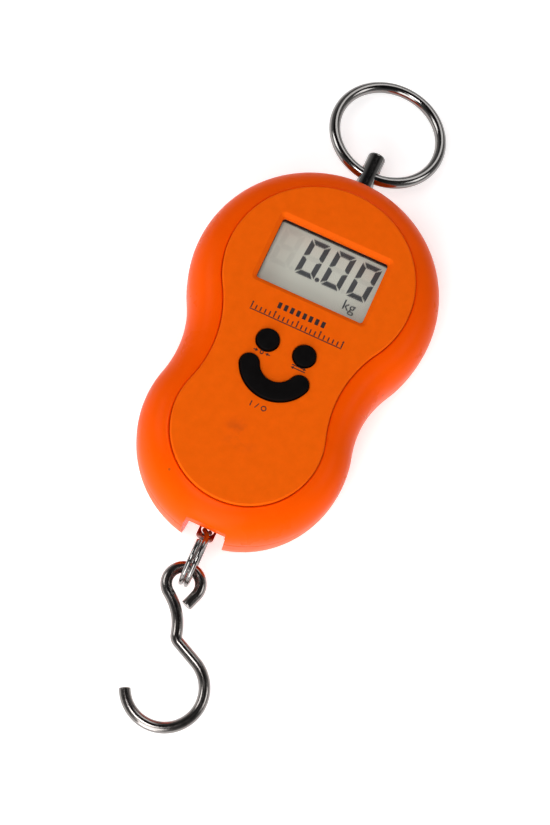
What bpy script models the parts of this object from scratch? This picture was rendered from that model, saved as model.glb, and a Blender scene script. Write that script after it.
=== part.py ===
"""Hanging digital fish scale: a two-lobed plastic case with a load cell,
a hanger ring at one end and a swinging wire hook at the other.

The scale lies on its back.  +Y runs towards the hanger ring, +Z out of the
display and +X to the reader's right.  Sizes below are in millimetres and
degrees; MM turns millimetres into metres.
"""
import math

import bmesh
import bpy
from mathutils import Matrix, Vector

MM = 0.001
CLEARANCE = 0.3          # gap between neighbouring pieces
LOWER_STEPS = 14         # points on half of the outline's lower lobe
WAIST_STEPS = 6          # points on one side's waist
UPPER_STEPS = 16         # points on half of the upper lobe

# Case: two round lobes joined by a waist.
CASE_THICKNESS = 30.0
PARTING_HEIGHT = 17.0
UPPER_RADIUS = 34.6
UPPER_Y = 20.2
LOWER_RADIUS = 28.8
LOWER_Y = -26.0
WAIST_RADIUS = 32.0
WALL = 2.0
RIM_WIDTH = 10.0
PLATE_PROUD = 0.8        # how far the face plate stands above the rim
RIM_POWER = 2.3
BACK_ROUND = 6.0
BACK_POWER = 2.4
LIP_HEIGHT = 1.2

# Raised face plate set into the front of the case.
PLATE_UPPER_RADIUS = 26.1
PLATE_UPPER_Y = 20.7
PLATE_LOWER_RADIUS = 20.4
PLATE_LOWER_Y = -26.4
PLATE_WAIST_RADIUS = 34.0
PLATE_THICKNESS = 2.2
PLATE_EDGE_ROUND = 0.5

# Display window, lens and liquid crystal panel.
WINDOW_WIDTH = 31.0
WINDOW_HEIGHT = 19.1
WINDOW_Y = 23.05
WINDOW_BEVEL = 1.2
WINDOW_BEVEL_DEPTH = 0.8
LENS_THICKNESS = 1.2
LENS_MARGIN = 1.75
LCD_MARGIN = 1.7
LCD_THICKNESS = 2.4
GASKET_WIDTH = 0.7
GASKET_THICKNESS = 0.5
ZEBRA_WIDTH = 1.8

# Buttons: two round ones and one curved one below them.
BUTTON_X = 5.3
BUTTON_Y = -1.85
BUTTON_RADIUS = 3.0
BUTTON_PROUD = 1.0
POWER_Y = -6.8
POWER_RADIUS = 7.75
POWER_HALF_WIDTH = 2.5
POWER_HALF_ANGLE = 68.0
BUTTON_FLANGE = 0.9
BUTTON_FLANGE_THICKNESS = 1.1
SWITCH_SIZE = 4.2
SWITCH_HEIGHT = 1.1
PLUNGER_RADIUS = 1.1
PLUNGER_ROOM = 0.5       # free travel below the plunger

# Main board and its four screws.
BOARD_HALF_WIDTH = 16.0
BOARD_TOP_Y = 35.5
BOARD_BOTTOM_Y = -22.5
BOARD_THICKNESS = 1.0
BOARD_GAP = 0.8          # between the load cell and the board above it
BOARD_BOSS_X = 13.4
BOARD_BOSS_UPPER_Y = 7.2
BOARD_BOSS_LOWER_Y = -19.4
BOARD_BOSS_RADIUS = 2.2
BOARD_SCREW_RADIUS = 0.8

# Load cell: a flat block slotted into an S.
CELL_HALF_WIDTH = 11.0
CELL_TOP_Y = 31.0
CELL_BOTTOM_Y = -29.0
CELL_THICKNESS = 5.4
CELL_SLOT = 2.0
CELL_UPPER_SLOT_Y = 16.0
CELL_LOWER_SLOT_Y = -15.0
CELL_EYE_RADIUS = 3.2
CELL_EYE_SPACING = 3.8
GAUGE_LENGTH = 6.0
GAUGE_WIDTH = 3.4
GAUGE_THICKNESS = 0.2

# Hanger stem and ring.
TOP_STEM_RADIUS = 2.6
TOP_STEM_REACH = 11.4    # how far the stem stands out of the case
TOP_HOLE_SETBACK = 6.7   # from the stem's end to its cross hole
TOP_HOLE_RADIUS = 1.95
COLLAR_RADIUS = 3.8
COLLAR_THICKNESS = 1.5
SHANK_RADIUS = 1.5
NUT_ACROSS_FLATS = 5.5
NUT_THICKNESS = 2.4
RING_RADIUS = 15.6
RING_WIRE_RADIUS = 1.6
RING_DROOP = 8.3
RING_LEAN = 4.0

# Swivel stem, split ring and hook.
LOWER_STEM_X = 1.1
LOWER_STEM_RADIUS = 2.4
LOWER_STEM_REACH = 0.2
LOWER_HOLE_SETBACK = 2.6
LOWER_HOLE_RADIUS = 1.8
WASHER_RADIUS = 2.8
WASHER_THICKNESS = 0.6
SPLIT_RADIUS = 7.5
SPLIT_WIRE_RADIUS = 0.65
SPLIT_PITCH = 1.5
SPLIT_DROOP = 6.0
SPLIT_SEAT = 0.35
HOOK_WIRE_RADIUS = 1.55
HOOK_TAIL_HEADING = 70.6
HOOK_TAIL = 3.7
HOOK_EYE_RADIUS = 4.5
HOOK_EYE_SWEEP = 255.4
HOOK_NECK_RADIUS = 15.5
HOOK_NECK_SWEEP = 40.9
HOOK_KINK_RADIUS = 2.4
HOOK_KINK_SWEEP = 49.4
HOOK_SHANK = 6.7
HOOK_BOW_RADIUS = 10.2
HOOK_BOW_SWEEP = 219.6

# Recess in which the swivel stem comes out of the case.
POCKET_X = 0.4
POCKET_HALF_WIDTH = 5.6
POCKET_DEPTH = 6.8
POCKET_ROOF = 21.0
POCKET_WALL = 1.5
NOTCH_DEPTH = 1.7
NOTCH_FLARE = 0.5

# Batteries, their well and its cover.
CELL_AAA_RADIUS = 5.25
CELL_AAA_LENGTH = 43.3
CELL_AAA_NUB = 1.2
BATTERY_GAP = 0.8        # between the two cells
BATTERY_SIDE_GAP = 0.8   # from a cell to the well's side
BATTERY_END_ROOM = 6.5   # both ends' springs and contacts together
WELL_TOP_Y = 33.5
WELL_WALL = 2.4
COVER_THICKNESS = 1.7
COVER_LEDGE = 1.5
TAB_THICKNESS = 0.8
SPRING_TURNS = 3.5
SPRING_WIRE_RADIUS = 0.3
CONTACT_THICKNESS = 0.4
LEAD_RADIUS = 0.45
GAUGE_LEAD_RADIUS = 0.25

# Case screws.
SCREW_UPPER_X = 19.8
SCREW_UPPER_Y = 36.2
SCREW_LOWER_X = 15.3
SCREW_LOWER_Y = -36.8
SCREW_RADIUS = 1.3
SCREW_HEAD_RADIUS = 2.4
SCREW_HEAD_HEIGHT = 1.8
SCREW_LENGTH = 12.0
SCREW_SEAT = 8.5
BOSS_RADIUS = 3.0

# Heights and places that follow from the stack of parts in the case.
RIM_HEIGHT = CASE_THICKNESS - PARTING_HEIGHT - PLATE_PROUD
PLATE_BACK = CASE_THICKNESS - PLATE_THICKNESS
FLOOR_TOP = PLATE_BACK - CLEARANCE
FLOOR_BACK = FLOOR_TOP - WALL
LENS_BACK = FLOOR_TOP - 0.05 - LENS_THICKNESS
LCD_FRONT = FLOOR_BACK - CLEARANCE
LCD_BACK = LCD_FRONT - LCD_THICKNESS
CELL_BACK = PARTING_HEIGHT - CELL_THICKNESS / 2
CELL_FRONT = PARTING_HEIGHT + CELL_THICKNESS / 2
BOARD_UNDERSIDE = CELL_FRONT + BOARD_GAP
BOARD_TOP = BOARD_UNDERSIDE + BOARD_THICKNESS
SWITCH_LOW = BOARD_TOP + CLEARANCE
SWITCH_WELL = SWITCH_LOW + CLEARANCE
FLANGE_TOP = FLOOR_BACK - CLEARANCE
FLANGE_LOW = FLANGE_TOP - BUTTON_FLANGE_THICKNESS
STUB_LOW = FLANGE_LOW - CLEARANCE / 2
PLUNGER_TOP = STUB_LOW - CLEARANCE
PLUNGER_LENGTH = PLUNGER_TOP - SWITCH_WELL - PLUNGER_ROOM
CASE_TOP_Y = UPPER_Y + UPPER_RADIUS
CASE_BOTTOM_Y = LOWER_Y - LOWER_RADIUS
TOP_STEM_END_Y = CASE_TOP_Y + TOP_STEM_REACH
TOP_HOLE_Y = TOP_STEM_END_Y - TOP_HOLE_SETBACK
LOWER_STEM_END_Y = CASE_BOTTOM_Y - LOWER_STEM_REACH
LOWER_HOLE_Y = LOWER_STEM_END_Y + LOWER_HOLE_SETBACK
POCKET_Y = CASE_BOTTOM_Y + POCKET_DEPTH
NOTCH_Y = CASE_BOTTOM_Y + NOTCH_DEPTH
COVER_SEAT = COVER_THICKNESS + CLEARANCE
TAB_LOW = COVER_SEAT + CLEARANCE
TAB_TOP = TAB_LOW + TAB_THICKNESS
BATTERY_X = CELL_AAA_RADIUS + BATTERY_GAP / 2
BATTERY_HEIGHT = COVER_THICKNESS + 1.5 * CLEARANCE + CELL_AAA_RADIUS
WELL_HALF_WIDTH = BATTERY_X + CELL_AAA_RADIUS + BATTERY_SIDE_GAP
WELL_BOTTOM_Y = WELL_TOP_Y - CELL_AAA_LENGTH - CELL_AAA_NUB - BATTERY_END_ROOM
WELL_CEILING = BATTERY_HEIGHT + CELL_AAA_RADIUS + CLEARANCE
FRAME = Vector((0.0, LOWER_Y, 0.0))      # centre of the lower lobe, on the flat back

for leftover in list(bpy.data.objects):
    bpy.data.objects.remove(leftover, do_unlink=True)


# ---------------------------------------------------------------- materials
def srgb(code):
    """Linear RGBA from a #rrggbb colour."""
    channels = [int(code[i:i + 2], 16) / 255 for i in (1, 3, 5)]
    linear = [c / 12.92 if c <= 0.04045 else ((c + 0.055) / 1.055) ** 2.4
              for c in channels]
    return (*linear, 1.0)


def material(name, colour, roughness, metallic=0.0):
    mat = bpy.data.materials.new(name)
    mat.use_nodes = True
    shader = mat.node_tree.nodes["Principled BSDF"]
    shader.inputs["Base Color"].default_value = srgb(colour)
    shader.inputs["Roughness"].default_value = roughness
    shader.inputs["Metallic"].default_value = metallic
    return mat


ORANGE = material("orange_abs", "#f26a12", 0.35)
ORANGE_SATIN = material("orange_satin_abs", "#ee5a17", 0.55)
BLACK_RUBBER = material("black_silicone", "#151514", 0.6)
BLACK_PLASTIC = material("black_plastic", "#1c1c1c", 0.45)
CLEAR = material("clear_acrylic", "#e9edea", 0.08)
LCD_GREY = material("lcd_glass", "#b9beb2", 0.2)
STEEL = material("bright_steel", "#c3c3c1", 0.22, 1.0)
NICKEL = material("nickel_wire", "#8f8a85", 0.25, 1.0)
ALUMINIUM = material("milled_aluminium", "#b7babd", 0.4, 1.0)
ZINC = material("zinc_screw", "#a9a9a6", 0.35, 1.0)
BOARD_GREEN = material("board_green", "#1f5b33", 0.5)
GAUGE_FOIL = material("gauge_foil", "#b9772b", 0.4)
CONTACT_METAL = material("contact_plate", "#bdbcb6", 0.3, 1.0)
BATTERY_JACKET = material("battery_jacket", "#3c4654", 0.4)
RED_LEAD = material("red_insulation", "#b3201b", 0.5)
BLACK_LEAD = material("black_insulation", "#161616", 0.5)
WHITE_LEAD = material("white_insulation", "#e2e0da", 0.5)


# ------------------------------------------------------------ mesh builders
def circle(radius, count, centre=(0.0, 0.0), start=0.0):
    step = 2 * math.pi / count
    return [(centre[0] + radius * math.cos(start + i * step),
             centre[1] + radius * math.sin(start + i * step))
            for i in range(count)]


def arc(centre, radius, start, end, count):
    """Points from start to end, in degrees, without the last one."""
    points = []
    for i in range(count):
        angle = math.radians(start + (end - start) * i / count)
        points.append((centre[0] + radius * math.cos(angle),
                       centre[1] + radius * math.sin(angle)))
    return points


def box_outline(x0, x1, y0, y1):
    return [(x0, y0), (x1, y0), (x1, y1), (x0, y1)]


def rounded_box(width, height, radius, centre, count=4):
    """Counter-clockwise rectangle with rounded corners."""
    points = []
    for sx, sy, start in ((1, 1, 0), (-1, 1, 90), (-1, -1, 180), (1, -1, 270)):
        corner = (centre[0] + sx * (width / 2 - radius),
                  centre[1] + sy * (height / 2 - radius))
        for i in range(count + 1):
            angle = math.radians(start + 90 * i / count)
            points.append((corner[0] + radius * math.cos(angle),
                           corner[1] + radius * math.sin(angle)))
    return points


def gourd(upper_radius, upper_y, lower_radius, lower_y, waist_radius, inset=0.0):
    """Two-lobed outline, counter-clockwise from the lower end, moved in by inset."""
    spacing = upper_y - lower_y
    low_reach = lower_radius + waist_radius
    high_reach = upper_radius + waist_radius
    along = (low_reach ** 2 - high_reach ** 2 + spacing ** 2) / (2 * spacing)
    waist_x = math.sqrt(low_reach ** 2 - along ** 2)
    waist_y = lower_y + along
    low_angle = math.degrees(math.atan2(along, waist_x))
    high_angle = math.degrees(math.atan2(waist_y - upper_y, waist_x))
    half = arc((0, lower_y), lower_radius - inset, -90, low_angle, LOWER_STEPS)
    half += arc((waist_x, waist_y), waist_radius + inset,
                180 + low_angle, 180 + high_angle, WAIST_STEPS)
    half += arc((0, upper_y), upper_radius - inset, high_angle, 90, UPPER_STEPS)
    mirrored = [(-x, y) for x, y in reversed(half[1:])]
    return half + [(0.0, upper_y + upper_radius - inset)] + mirrored


def case_ring(inset, height):
    outline = gourd(UPPER_RADIUS, UPPER_Y, LOWER_RADIUS, LOWER_Y, WAIST_RADIUS, inset)
    return [(x, y, height) for x, y in outline]


def plate_ring(inset, height):
    outline = gourd(PLATE_UPPER_RADIUS, PLATE_UPPER_Y, PLATE_LOWER_RADIUS,
                    PLATE_LOWER_Y, PLATE_WAIST_RADIUS, inset)
    return [(x, y, height) for x, y in outline]


def rounded_section(steps, width, height, power):
    """Pairs of inset and rise along a rounded edge, from its foot to its top."""
    pairs = []
    for i in range(steps + 1):
        angle = math.pi / 2 * i / steps
        inset = width * (1 - max(math.cos(angle), 0.0) ** (2 / power))
        pairs.append((inset, height * math.sin(angle) ** (2 / power)))
    return pairs


def add_loft(mesh, rings):
    """Skin a stack of equal rings and close both ends."""
    rows = [[mesh.verts.new(point) for point in ring] for ring in rings]
    count = len(rows[0])
    for low, high in zip(rows, rows[1:]):
        for i in range(count):
            j = (i + 1) % count
            mesh.faces.new((low[i], low[j], high[j], high[i]))
    mesh.faces.new(list(reversed(rows[0])))
    mesh.faces.new(rows[-1])
    return mesh


def add_prism(mesh, outline, low, high, axis="Z"):
    """Straight prism; outline lies across the axis, low and high lie along it."""
    def place(u, v, w):
        if axis == "Z":
            return (u, v, w)
        if axis == "Y":
            return (u, w, v)
        return (w, u, v)
    return add_loft(mesh, [[place(u, v, low) for u, v in outline],
                           [place(u, v, high) for u, v in outline]])


def add_box(mesh, x0, x1, y0, y1, z0, z1):
    return add_prism(mesh, box_outline(x0, x1, y0, y1), z0, z1)


def add_lathe(mesh, profile, centre, axis="Z", count=24):
    """Solid of revolution.  profile holds (radius, distance) pairs along the axis."""
    rings = []
    for radius, distance in profile:
        ring = []
        for u, v in circle(radius, count):
            if axis == "Z":
                ring.append((centre[0] + u, centre[1] + v, centre[2] + distance))
            elif axis == "Y":
                ring.append((centre[0] + u, centre[1] + distance, centre[2] + v))
            else:
                ring.append((centre[0] + distance, centre[1] + u, centre[2] + v))
        rings.append(ring)
    return add_loft(mesh, rings)


def add_tube(mesh, path, radius, sides=10, closed=False):
    """Round wire along a path of points."""
    points = [Vector(p) for p in path]
    count = len(points)
    tangents = []
    for i in range(count):
        before = points[i - 1] if closed or i > 0 else points[i]
        after = points[(i + 1) % count] if closed or i < count - 1 else points[i]
        tangents.append((after - before).normalized())
    side = tangents[0].orthogonal().normalized()
    rows = []
    for point, tangent in zip(points, tangents):
        side = (side - tangent * side.dot(tangent)).normalized()
        other = tangent.cross(side)
        rows.append([mesh.verts.new(point + radius * (math.cos(a) * side + math.sin(a) * other))
                     for a in [2 * math.pi * k / sides for k in range(sides)]])
    pairs = list(zip(rows, rows[1:]))
    if closed:
        pairs.append((rows[-1], rows[0]))
    for low, high in pairs:
        for i in range(sides):
            j = (i + 1) % sides
            mesh.faces.new((low[i], low[j], high[j], high[i]))
    if not closed:
        mesh.faces.new(list(reversed(rows[0])))
        mesh.faces.new(rows[-1])
    return mesh


def add_washer(mesh, outer, inner_radius, low, high, centre, axis="Y"):
    """Flat piece with a round hole; outer is a ring of points round its centre."""
    count = len(outer)
    inner = circle(inner_radius, count, start=math.atan2(outer[0][1], outer[0][0]))
    rows = []
    for outline, w in ((inner, low), (outer, low), (outer, high), (inner, high)):
        row = []
        for u, v in outline:
            if axis == "Y":
                row.append(mesh.verts.new((centre[0] + u, w, centre[2] + v)))
            else:
                row.append(mesh.verts.new((centre[0] + u, centre[1] + v, w)))
        rows.append(row)
    rows.append(rows[0])
    for low_row, high_row in zip(rows, rows[1:]):
        for i in range(count):
            j = (i + 1) % count
            mesh.faces.new((low_row[i], low_row[j], high_row[j], high_row[i]))
    return mesh


def bend_wire(start, heading, steps, spacing=0.9):
    """Plane path of a bent wire.  steps holds ("run", length) and
    ("bend", radius, degrees) with left turns positive."""
    x, y = start
    angle = math.radians(heading)
    points = [(x, y)]
    for step in steps:
        if step[0] == "run":
            x += step[1] * math.cos(angle)
            y += step[1] * math.sin(angle)
            points.append((x, y))
            continue
        radius, turn = step[1], math.radians(step[2])
        count = max(3, round(abs(turn) * radius / spacing))
        for _ in range(count):
            part = turn / count
            chord = 2 * radius * math.sin(abs(part) / 2)
            x += chord * math.cos(angle + part / 2)
            y += chord * math.sin(angle + part / 2)
            angle += part
            points.append((x, y))
    return points


# ------------------------------------------------------------------ objects
def publish(name, mesh, mat, origin=tuple(FRAME), turn=(0.0, 0.0, 0.0), parent=None):
    """Turn a bmesh in millimetres into an object.  Shapes are drawn round the
    middle of the case; the finished scale stands with FRAME at the world's
    origin.  The mesh of a turned piece is drawn before its turn."""
    bmesh.ops.recalc_face_normals(mesh, faces=mesh.faces)
    shift = Matrix.Translation(-Vector(origin))
    bmesh.ops.transform(mesh, matrix=Matrix.Scale(MM, 4) @ shift, verts=mesh.verts)
    data = bpy.data.meshes.new(name)
    mesh.to_mesh(data)
    mesh.free()
    data.shade_smooth()
    data.set_sharp_from_angle(angle=math.radians(35))
    data.materials.append(mat)
    piece = bpy.data.objects.new(name, data)
    bpy.context.scene.collection.objects.link(piece)
    place = Vector(origin) - FRAME
    if parent is not None:
        piece.parent = parent
        place = Vector(origin) - Vector(parent["origin_mm"])
    piece.location = place * MM
    piece.rotation_euler = [math.radians(a) for a in turn]
    piece["origin_mm"] = list(origin)
    return piece


def tool(name, mesh, mat=BLACK_PLASTIC):
    """Hidden body used only to cut, join or trim another piece."""
    piece = publish(name, mesh, mat)
    piece.display_type = "WIRE"
    piece.hide_render = True
    return piece


def combine(target, body, operation):
    step = target.modifiers.new(body.name, "BOOLEAN")
    step.operation = operation
    step.solver = "EXACT"
    step.object = body
    return step


# -------------------------------------------------------------- shared forms
def smile_band(half_width, end_steps=6, steps=14):
    """Outline of the curved button: an arc of constant width with round ends."""
    centre = (0.0, POWER_Y)
    first = 270 - POWER_HALF_ANGLE
    last = 270 + POWER_HALF_ANGLE
    outer = arc(centre, POWER_RADIUS + half_width, first, last, steps)
    inner = arc(centre, POWER_RADIUS - half_width, last, first, steps)
    tip_last = (centre[0] + POWER_RADIUS * math.cos(math.radians(last)),
                centre[1] + POWER_RADIUS * math.sin(math.radians(last)))
    tip_first = (centre[0] + POWER_RADIUS * math.cos(math.radians(first)),
                 centre[1] + POWER_RADIUS * math.sin(math.radians(first)))
    cap_last = arc(tip_last, half_width, last, last + 180, end_steps)
    cap_first = arc(tip_first, half_width, first - 180, first, end_steps)
    return outer + cap_last + inner + cap_first


def eye_outline(side, radius, count=20):
    return circle(radius, count, centre=(side * BUTTON_X, BUTTON_Y))


def pocket_outline(inner_y, outer_y):
    """Notch across the lower end of the case, a little wider at its mouth."""
    flare = POCKET_HALF_WIDTH + NOTCH_FLARE
    return [(POCKET_X - POCKET_HALF_WIDTH, inner_y), (POCKET_X - flare, outer_y),
            (POCKET_X + flare, outer_y), (POCKET_X + POCKET_HALF_WIDTH, inner_y)]


def corner_pairs(x, upper_y, lower_y, lower_x=None):
    low_x = x if lower_x is None else lower_x
    return [(x, upper_y), (-x, upper_y), (low_x, lower_y), (-low_x, lower_y)]


CASE_SCREWS = corner_pairs(SCREW_UPPER_X, SCREW_UPPER_Y, SCREW_LOWER_Y, SCREW_LOWER_X)
BOARD_SCREWS = corner_pairs(BOARD_BOSS_X, BOARD_BOSS_UPPER_Y, BOARD_BOSS_LOWER_Y)
front_section = rounded_section(8, RIM_WIDTH, RIM_HEIGHT, RIM_POWER)
back_section = rounded_section(6, BACK_ROUND, PARTING_HEIGHT - CLEARANCE / 2, BACK_POWER)


def trimming_hull(name, margin):
    """Whole case drawn slightly small, for trimming ribs and bosses to it."""
    rings = []
    for inset, rise in reversed(back_section):
        rings.append(case_ring(inset + margin, PARTING_HEIGHT - rise + margin * (rise > 8)))
    for inset, rise in front_section[1:]:
        rings.append(case_ring(inset + margin, PARTING_HEIGHT + rise - margin * (rise > 8)))
    return tool(name, add_loft(bmesh.new(), rings))


# --------------------------------------------------------------- front shell
def build_front_shell(hull):
    pocket = POCKET_HALF_WIDTH + POCKET_WALL
    inner_top = FLOOR_BACK - PARTING_HEIGHT
    inner = rounded_section(5, RIM_WIDTH - 1.5, inner_top, RIM_POWER)
    lap = PARTING_HEIGHT + LIP_HEIGHT + CLEARANCE
    rings = []
    for inset, rise in reversed(inner[2:]):
        rings.append(case_ring(WALL + inset, PARTING_HEIGHT + rise))
    rings.append(case_ring(WALL, lap))
    rings.append(case_ring(WALL / 2, lap))
    rings.append(case_ring(WALL / 2, PARTING_HEIGHT + CLEARANCE / 2))
    rings.append(case_ring(0.0, PARTING_HEIGHT + CLEARANCE / 2))
    for inset, rise in front_section[1:-2]:
        rings.append(case_ring(inset, PARTING_HEIGHT + rise))
    rings.append(plate_ring(-CLEARANCE - 0.35, PARTING_HEIGHT + RIM_HEIGHT - 0.15))
    rings.append(plate_ring(-CLEARANCE, PARTING_HEIGHT + RIM_HEIGHT - 0.45))
    rings.append(plate_ring(-CLEARANCE, FLOOR_TOP))
    shell = publish("front_shell", add_loft(bmesh.new(), rings), ORANGE)

    ribs = bmesh.new()
    for x, y in CASE_SCREWS:
        add_prism(ribs, circle(BOSS_RADIUS, 16, (x, y)),
                  PARTING_HEIGHT + CLEARANCE, FLOOR_BACK + 1.0)
    for x, y in BOARD_SCREWS:
        add_prism(ribs, circle(BOARD_BOSS_RADIUS, 14, (x, y)),
                  BOARD_TOP + CLEARANCE, FLOOR_BACK + 1.0)
    add_box(ribs, POCKET_X - pocket, POCKET_X + pocket, CASE_BOTTOM_Y - 2,
            POCKET_Y + POCKET_WALL, PARTING_HEIGHT + CLEARANCE / 2, POCKET_ROOF + POCKET_WALL)
    ribs = tool("front_shell_ribs", ribs)
    combine(ribs, hull, "INTERSECT")
    combine(shell, ribs, "UNION")

    openings = bmesh.new()
    opening = 2 * GASKET_WIDTH + 2 * CLEARANCE
    add_prism(openings, rounded_box(WINDOW_WIDTH + opening, WINDOW_HEIGHT + opening, 0.8,
                                    (0, WINDOW_Y), 3), FLOOR_BACK - 1, FLOOR_TOP + 0.5)
    for side in (-1, 1):
        add_prism(openings, eye_outline(side, BUTTON_RADIUS + CLEARANCE),
                  FLOOR_BACK - 1, FLOOR_TOP + 0.5)
    add_prism(openings, smile_band(POWER_HALF_WIDTH + CLEARANCE),
              FLOOR_BACK - 1, FLOOR_TOP + 0.5)
    add_lathe(openings, [(TOP_STEM_RADIUS + CLEARANCE, 0), (TOP_STEM_RADIUS + CLEARANCE, 8)],
              (0, CASE_TOP_Y - 6, PARTING_HEIGHT), "Y", 20)
    add_lathe(openings, [(LOWER_STEM_RADIUS + CLEARANCE, 0), (LOWER_STEM_RADIUS + CLEARANCE, 3)],
              (LOWER_STEM_X, POCKET_Y - 0.7, PARTING_HEIGHT), "Y", 20)
    add_prism(openings, pocket_outline(NOTCH_Y, CASE_BOTTOM_Y - 3), POCKET_ROOF - 1,
              CASE_THICKNESS)
    combine(shell, tool("front_shell_openings", openings), "DIFFERENCE")

    recesses = bmesh.new()
    add_prism(recesses, rounded_box(WINDOW_WIDTH + 2 * LENS_MARGIN + CLEARANCE,
                                    WINDOW_HEIGHT + 2 * LENS_MARGIN + CLEARANCE, 1.2,
                                    (0, WINDOW_Y), 3),
              LENS_BACK - 0.1, FLOOR_TOP + 0.6)
    for x, y in CASE_SCREWS:
        add_prism(recesses, circle(SCREW_RADIUS + CLEARANCE, 12, (x, y)),
                  PARTING_HEIGHT - 1, SCREW_SEAT + SCREW_LENGTH + 1.0)
    for x, y in BOARD_SCREWS:
        add_prism(recesses, circle(BOARD_SCREW_RADIUS + CLEARANCE, 12, (x, y)),
                  BOARD_TOP - 1, FLOOR_BACK - 0.4)
    add_prism(recesses, pocket_outline(POCKET_Y, CASE_BOTTOM_Y - 4), PARTING_HEIGHT - 2,
              POCKET_ROOF)
    combine(shell, tool("front_shell_recesses", recesses), "DIFFERENCE")
    return shell


# ---------------------------------------------------------------- rear shell
def build_rear_shell(hull):
    pocket = POCKET_HALF_WIDTH + POCKET_WALL
    floor_rise = PARTING_HEIGHT - CLEARANCE / 2
    inner = rounded_section(4, BACK_ROUND - 1.0, floor_rise - WALL, BACK_POWER)
    lip_top = PARTING_HEIGHT + LIP_HEIGHT
    rings = []
    for inset, rise in reversed(back_section):
        rings.append(case_ring(inset, floor_rise - rise))
    rings.append(case_ring(WALL / 2 + CLEARANCE, floor_rise))
    rings.append(case_ring(WALL / 2 + CLEARANCE, lip_top))
    rings.append(case_ring(WALL, lip_top))
    for inset, rise in inner[1:]:
        rings.append(case_ring(WALL + inset, floor_rise - rise))
    shell = publish("rear_shell", add_loft(bmesh.new(), rings), ORANGE)

    ribs = bmesh.new()
    for x, y in CASE_SCREWS:
        add_prism(ribs, circle(BOSS_RADIUS + 0.6, 16, (x, y)), WALL / 2,
                  PARTING_HEIGHT)
    wall = WELL_WALL + 0.6
    add_box(ribs, -WELL_HALF_WIDTH - wall, WELL_HALF_WIDTH + wall,
            WELL_BOTTOM_Y - wall, WELL_TOP_Y + 2 * WELL_WALL, WALL / 2,
            WELL_CEILING + 0.9)
    add_box(ribs, POCKET_X - pocket, POCKET_X + pocket, CASE_BOTTOM_Y - 2,
            POCKET_Y + POCKET_WALL, WALL / 2, PARTING_HEIGHT - CLEARANCE / 2)
    ribs = tool("rear_shell_ribs", ribs)
    combine(ribs, hull, "INTERSECT")
    combine(shell, ribs, "UNION")

    wells = bmesh.new()
    add_box(wells, -WELL_HALF_WIDTH, WELL_HALF_WIDTH, WELL_BOTTOM_Y, WELL_TOP_Y,
            -1, WELL_CEILING)
    for x, y in CASE_SCREWS:
        add_prism(wells, circle(SCREW_HEAD_RADIUS + CLEARANCE, 20, (x, y)), -1, SCREW_SEAT)
    add_lathe(wells, [(LOWER_STEM_RADIUS + CLEARANCE, 0), (LOWER_STEM_RADIUS + CLEARANCE, 3)],
              (LOWER_STEM_X, POCKET_Y - 0.7, PARTING_HEIGHT), "Y", 20)
    add_lathe(wells, [(TOP_STEM_RADIUS + CLEARANCE, 0), (TOP_STEM_RADIUS + CLEARANCE, 8)],
              (0, CASE_TOP_Y - 6, PARTING_HEIGHT), "Y", 20)
    combine(shell, tool("rear_shell_wells", wells), "DIFFERENCE")

    seats = bmesh.new()
    add_box(seats, -WELL_HALF_WIDTH - COVER_LEDGE, WELL_HALF_WIDTH + COVER_LEDGE,
            WELL_BOTTOM_Y - COVER_LEDGE, WELL_TOP_Y + COVER_LEDGE, -2, COVER_SEAT)
    for x, y in CASE_SCREWS:
        add_prism(seats, circle(SCREW_RADIUS + CLEARANCE, 12, (x, y)),
                  SCREW_SEAT - 1, PARTING_HEIGHT + 2)
    add_prism(seats, pocket_outline(POCKET_Y, CASE_BOTTOM_Y - 3), -2, PARTING_HEIGHT + 3)
    combine(shell, tool("rear_shell_seats", seats), "DIFFERENCE")

    slots = bmesh.new()
    for side in (-1, 1):
        add_box(slots, side * 8 - 2.5, side * 8 + 2.5, WELL_TOP_Y - 0.5,
                WELL_TOP_Y + WELL_WALL + 1.2, COVER_SEAT - 0.5, COVER_SEAT + 3.0)
        add_box(slots, side * BATTERY_X - 1.6, side * BATTERY_X + 1.6,
                WELL_TOP_Y - 1.4, WELL_TOP_Y + 0.1, WELL_CEILING - 1, WELL_CEILING + 3)
    relief = pocket + CLEARANCE
    add_box(slots, POCKET_X - relief, POCKET_X + relief, CASE_BOTTOM_Y - 2, POCKET_Y - 1.0,
            PARTING_HEIGHT - 0.1, PARTING_HEIGHT + 2)
    combine(shell, tool("rear_shell_slots", slots), "DIFFERENCE")
    return shell


# ---------------------------------------------------------------- face plate
def build_face_plate():
    top = CASE_THICKNESS
    rings = [plate_ring(0.0, PLATE_BACK), plate_ring(0.0, top - PLATE_EDGE_ROUND),
             plate_ring(0.3 * PLATE_EDGE_ROUND, top - 0.3 * PLATE_EDGE_ROUND),
             plate_ring(PLATE_EDGE_ROUND, top)]
    plate = publish("face_plate", add_loft(bmesh.new(), rings), ORANGE_SATIN)
    cuts = bmesh.new()
    levels = [(0.0, PLATE_BACK - 1), (0.0, top - WINDOW_BEVEL_DEPTH),
              (WINDOW_BEVEL, top), (WINDOW_BEVEL, top + 1)]
    rings = []
    for grow, height in levels:
        outline = rounded_box(WINDOW_WIDTH + 2 * grow, WINDOW_HEIGHT + 2 * grow,
                              0.8 + grow / 2, (0, WINDOW_Y), 3)
        rings.append([(x, y, height) for x, y in outline])
    add_loft(cuts, rings)
    for side in (-1, 1):
        add_prism(cuts, eye_outline(side, BUTTON_RADIUS + CLEARANCE), PLATE_BACK - 1, top + 1)
    add_prism(cuts, smile_band(POWER_HALF_WIDTH + CLEARANCE), PLATE_BACK - 1, top + 1)
    combine(plate, tool("face_plate_cuts", cuts), "DIFFERENCE")
    return plate


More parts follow.
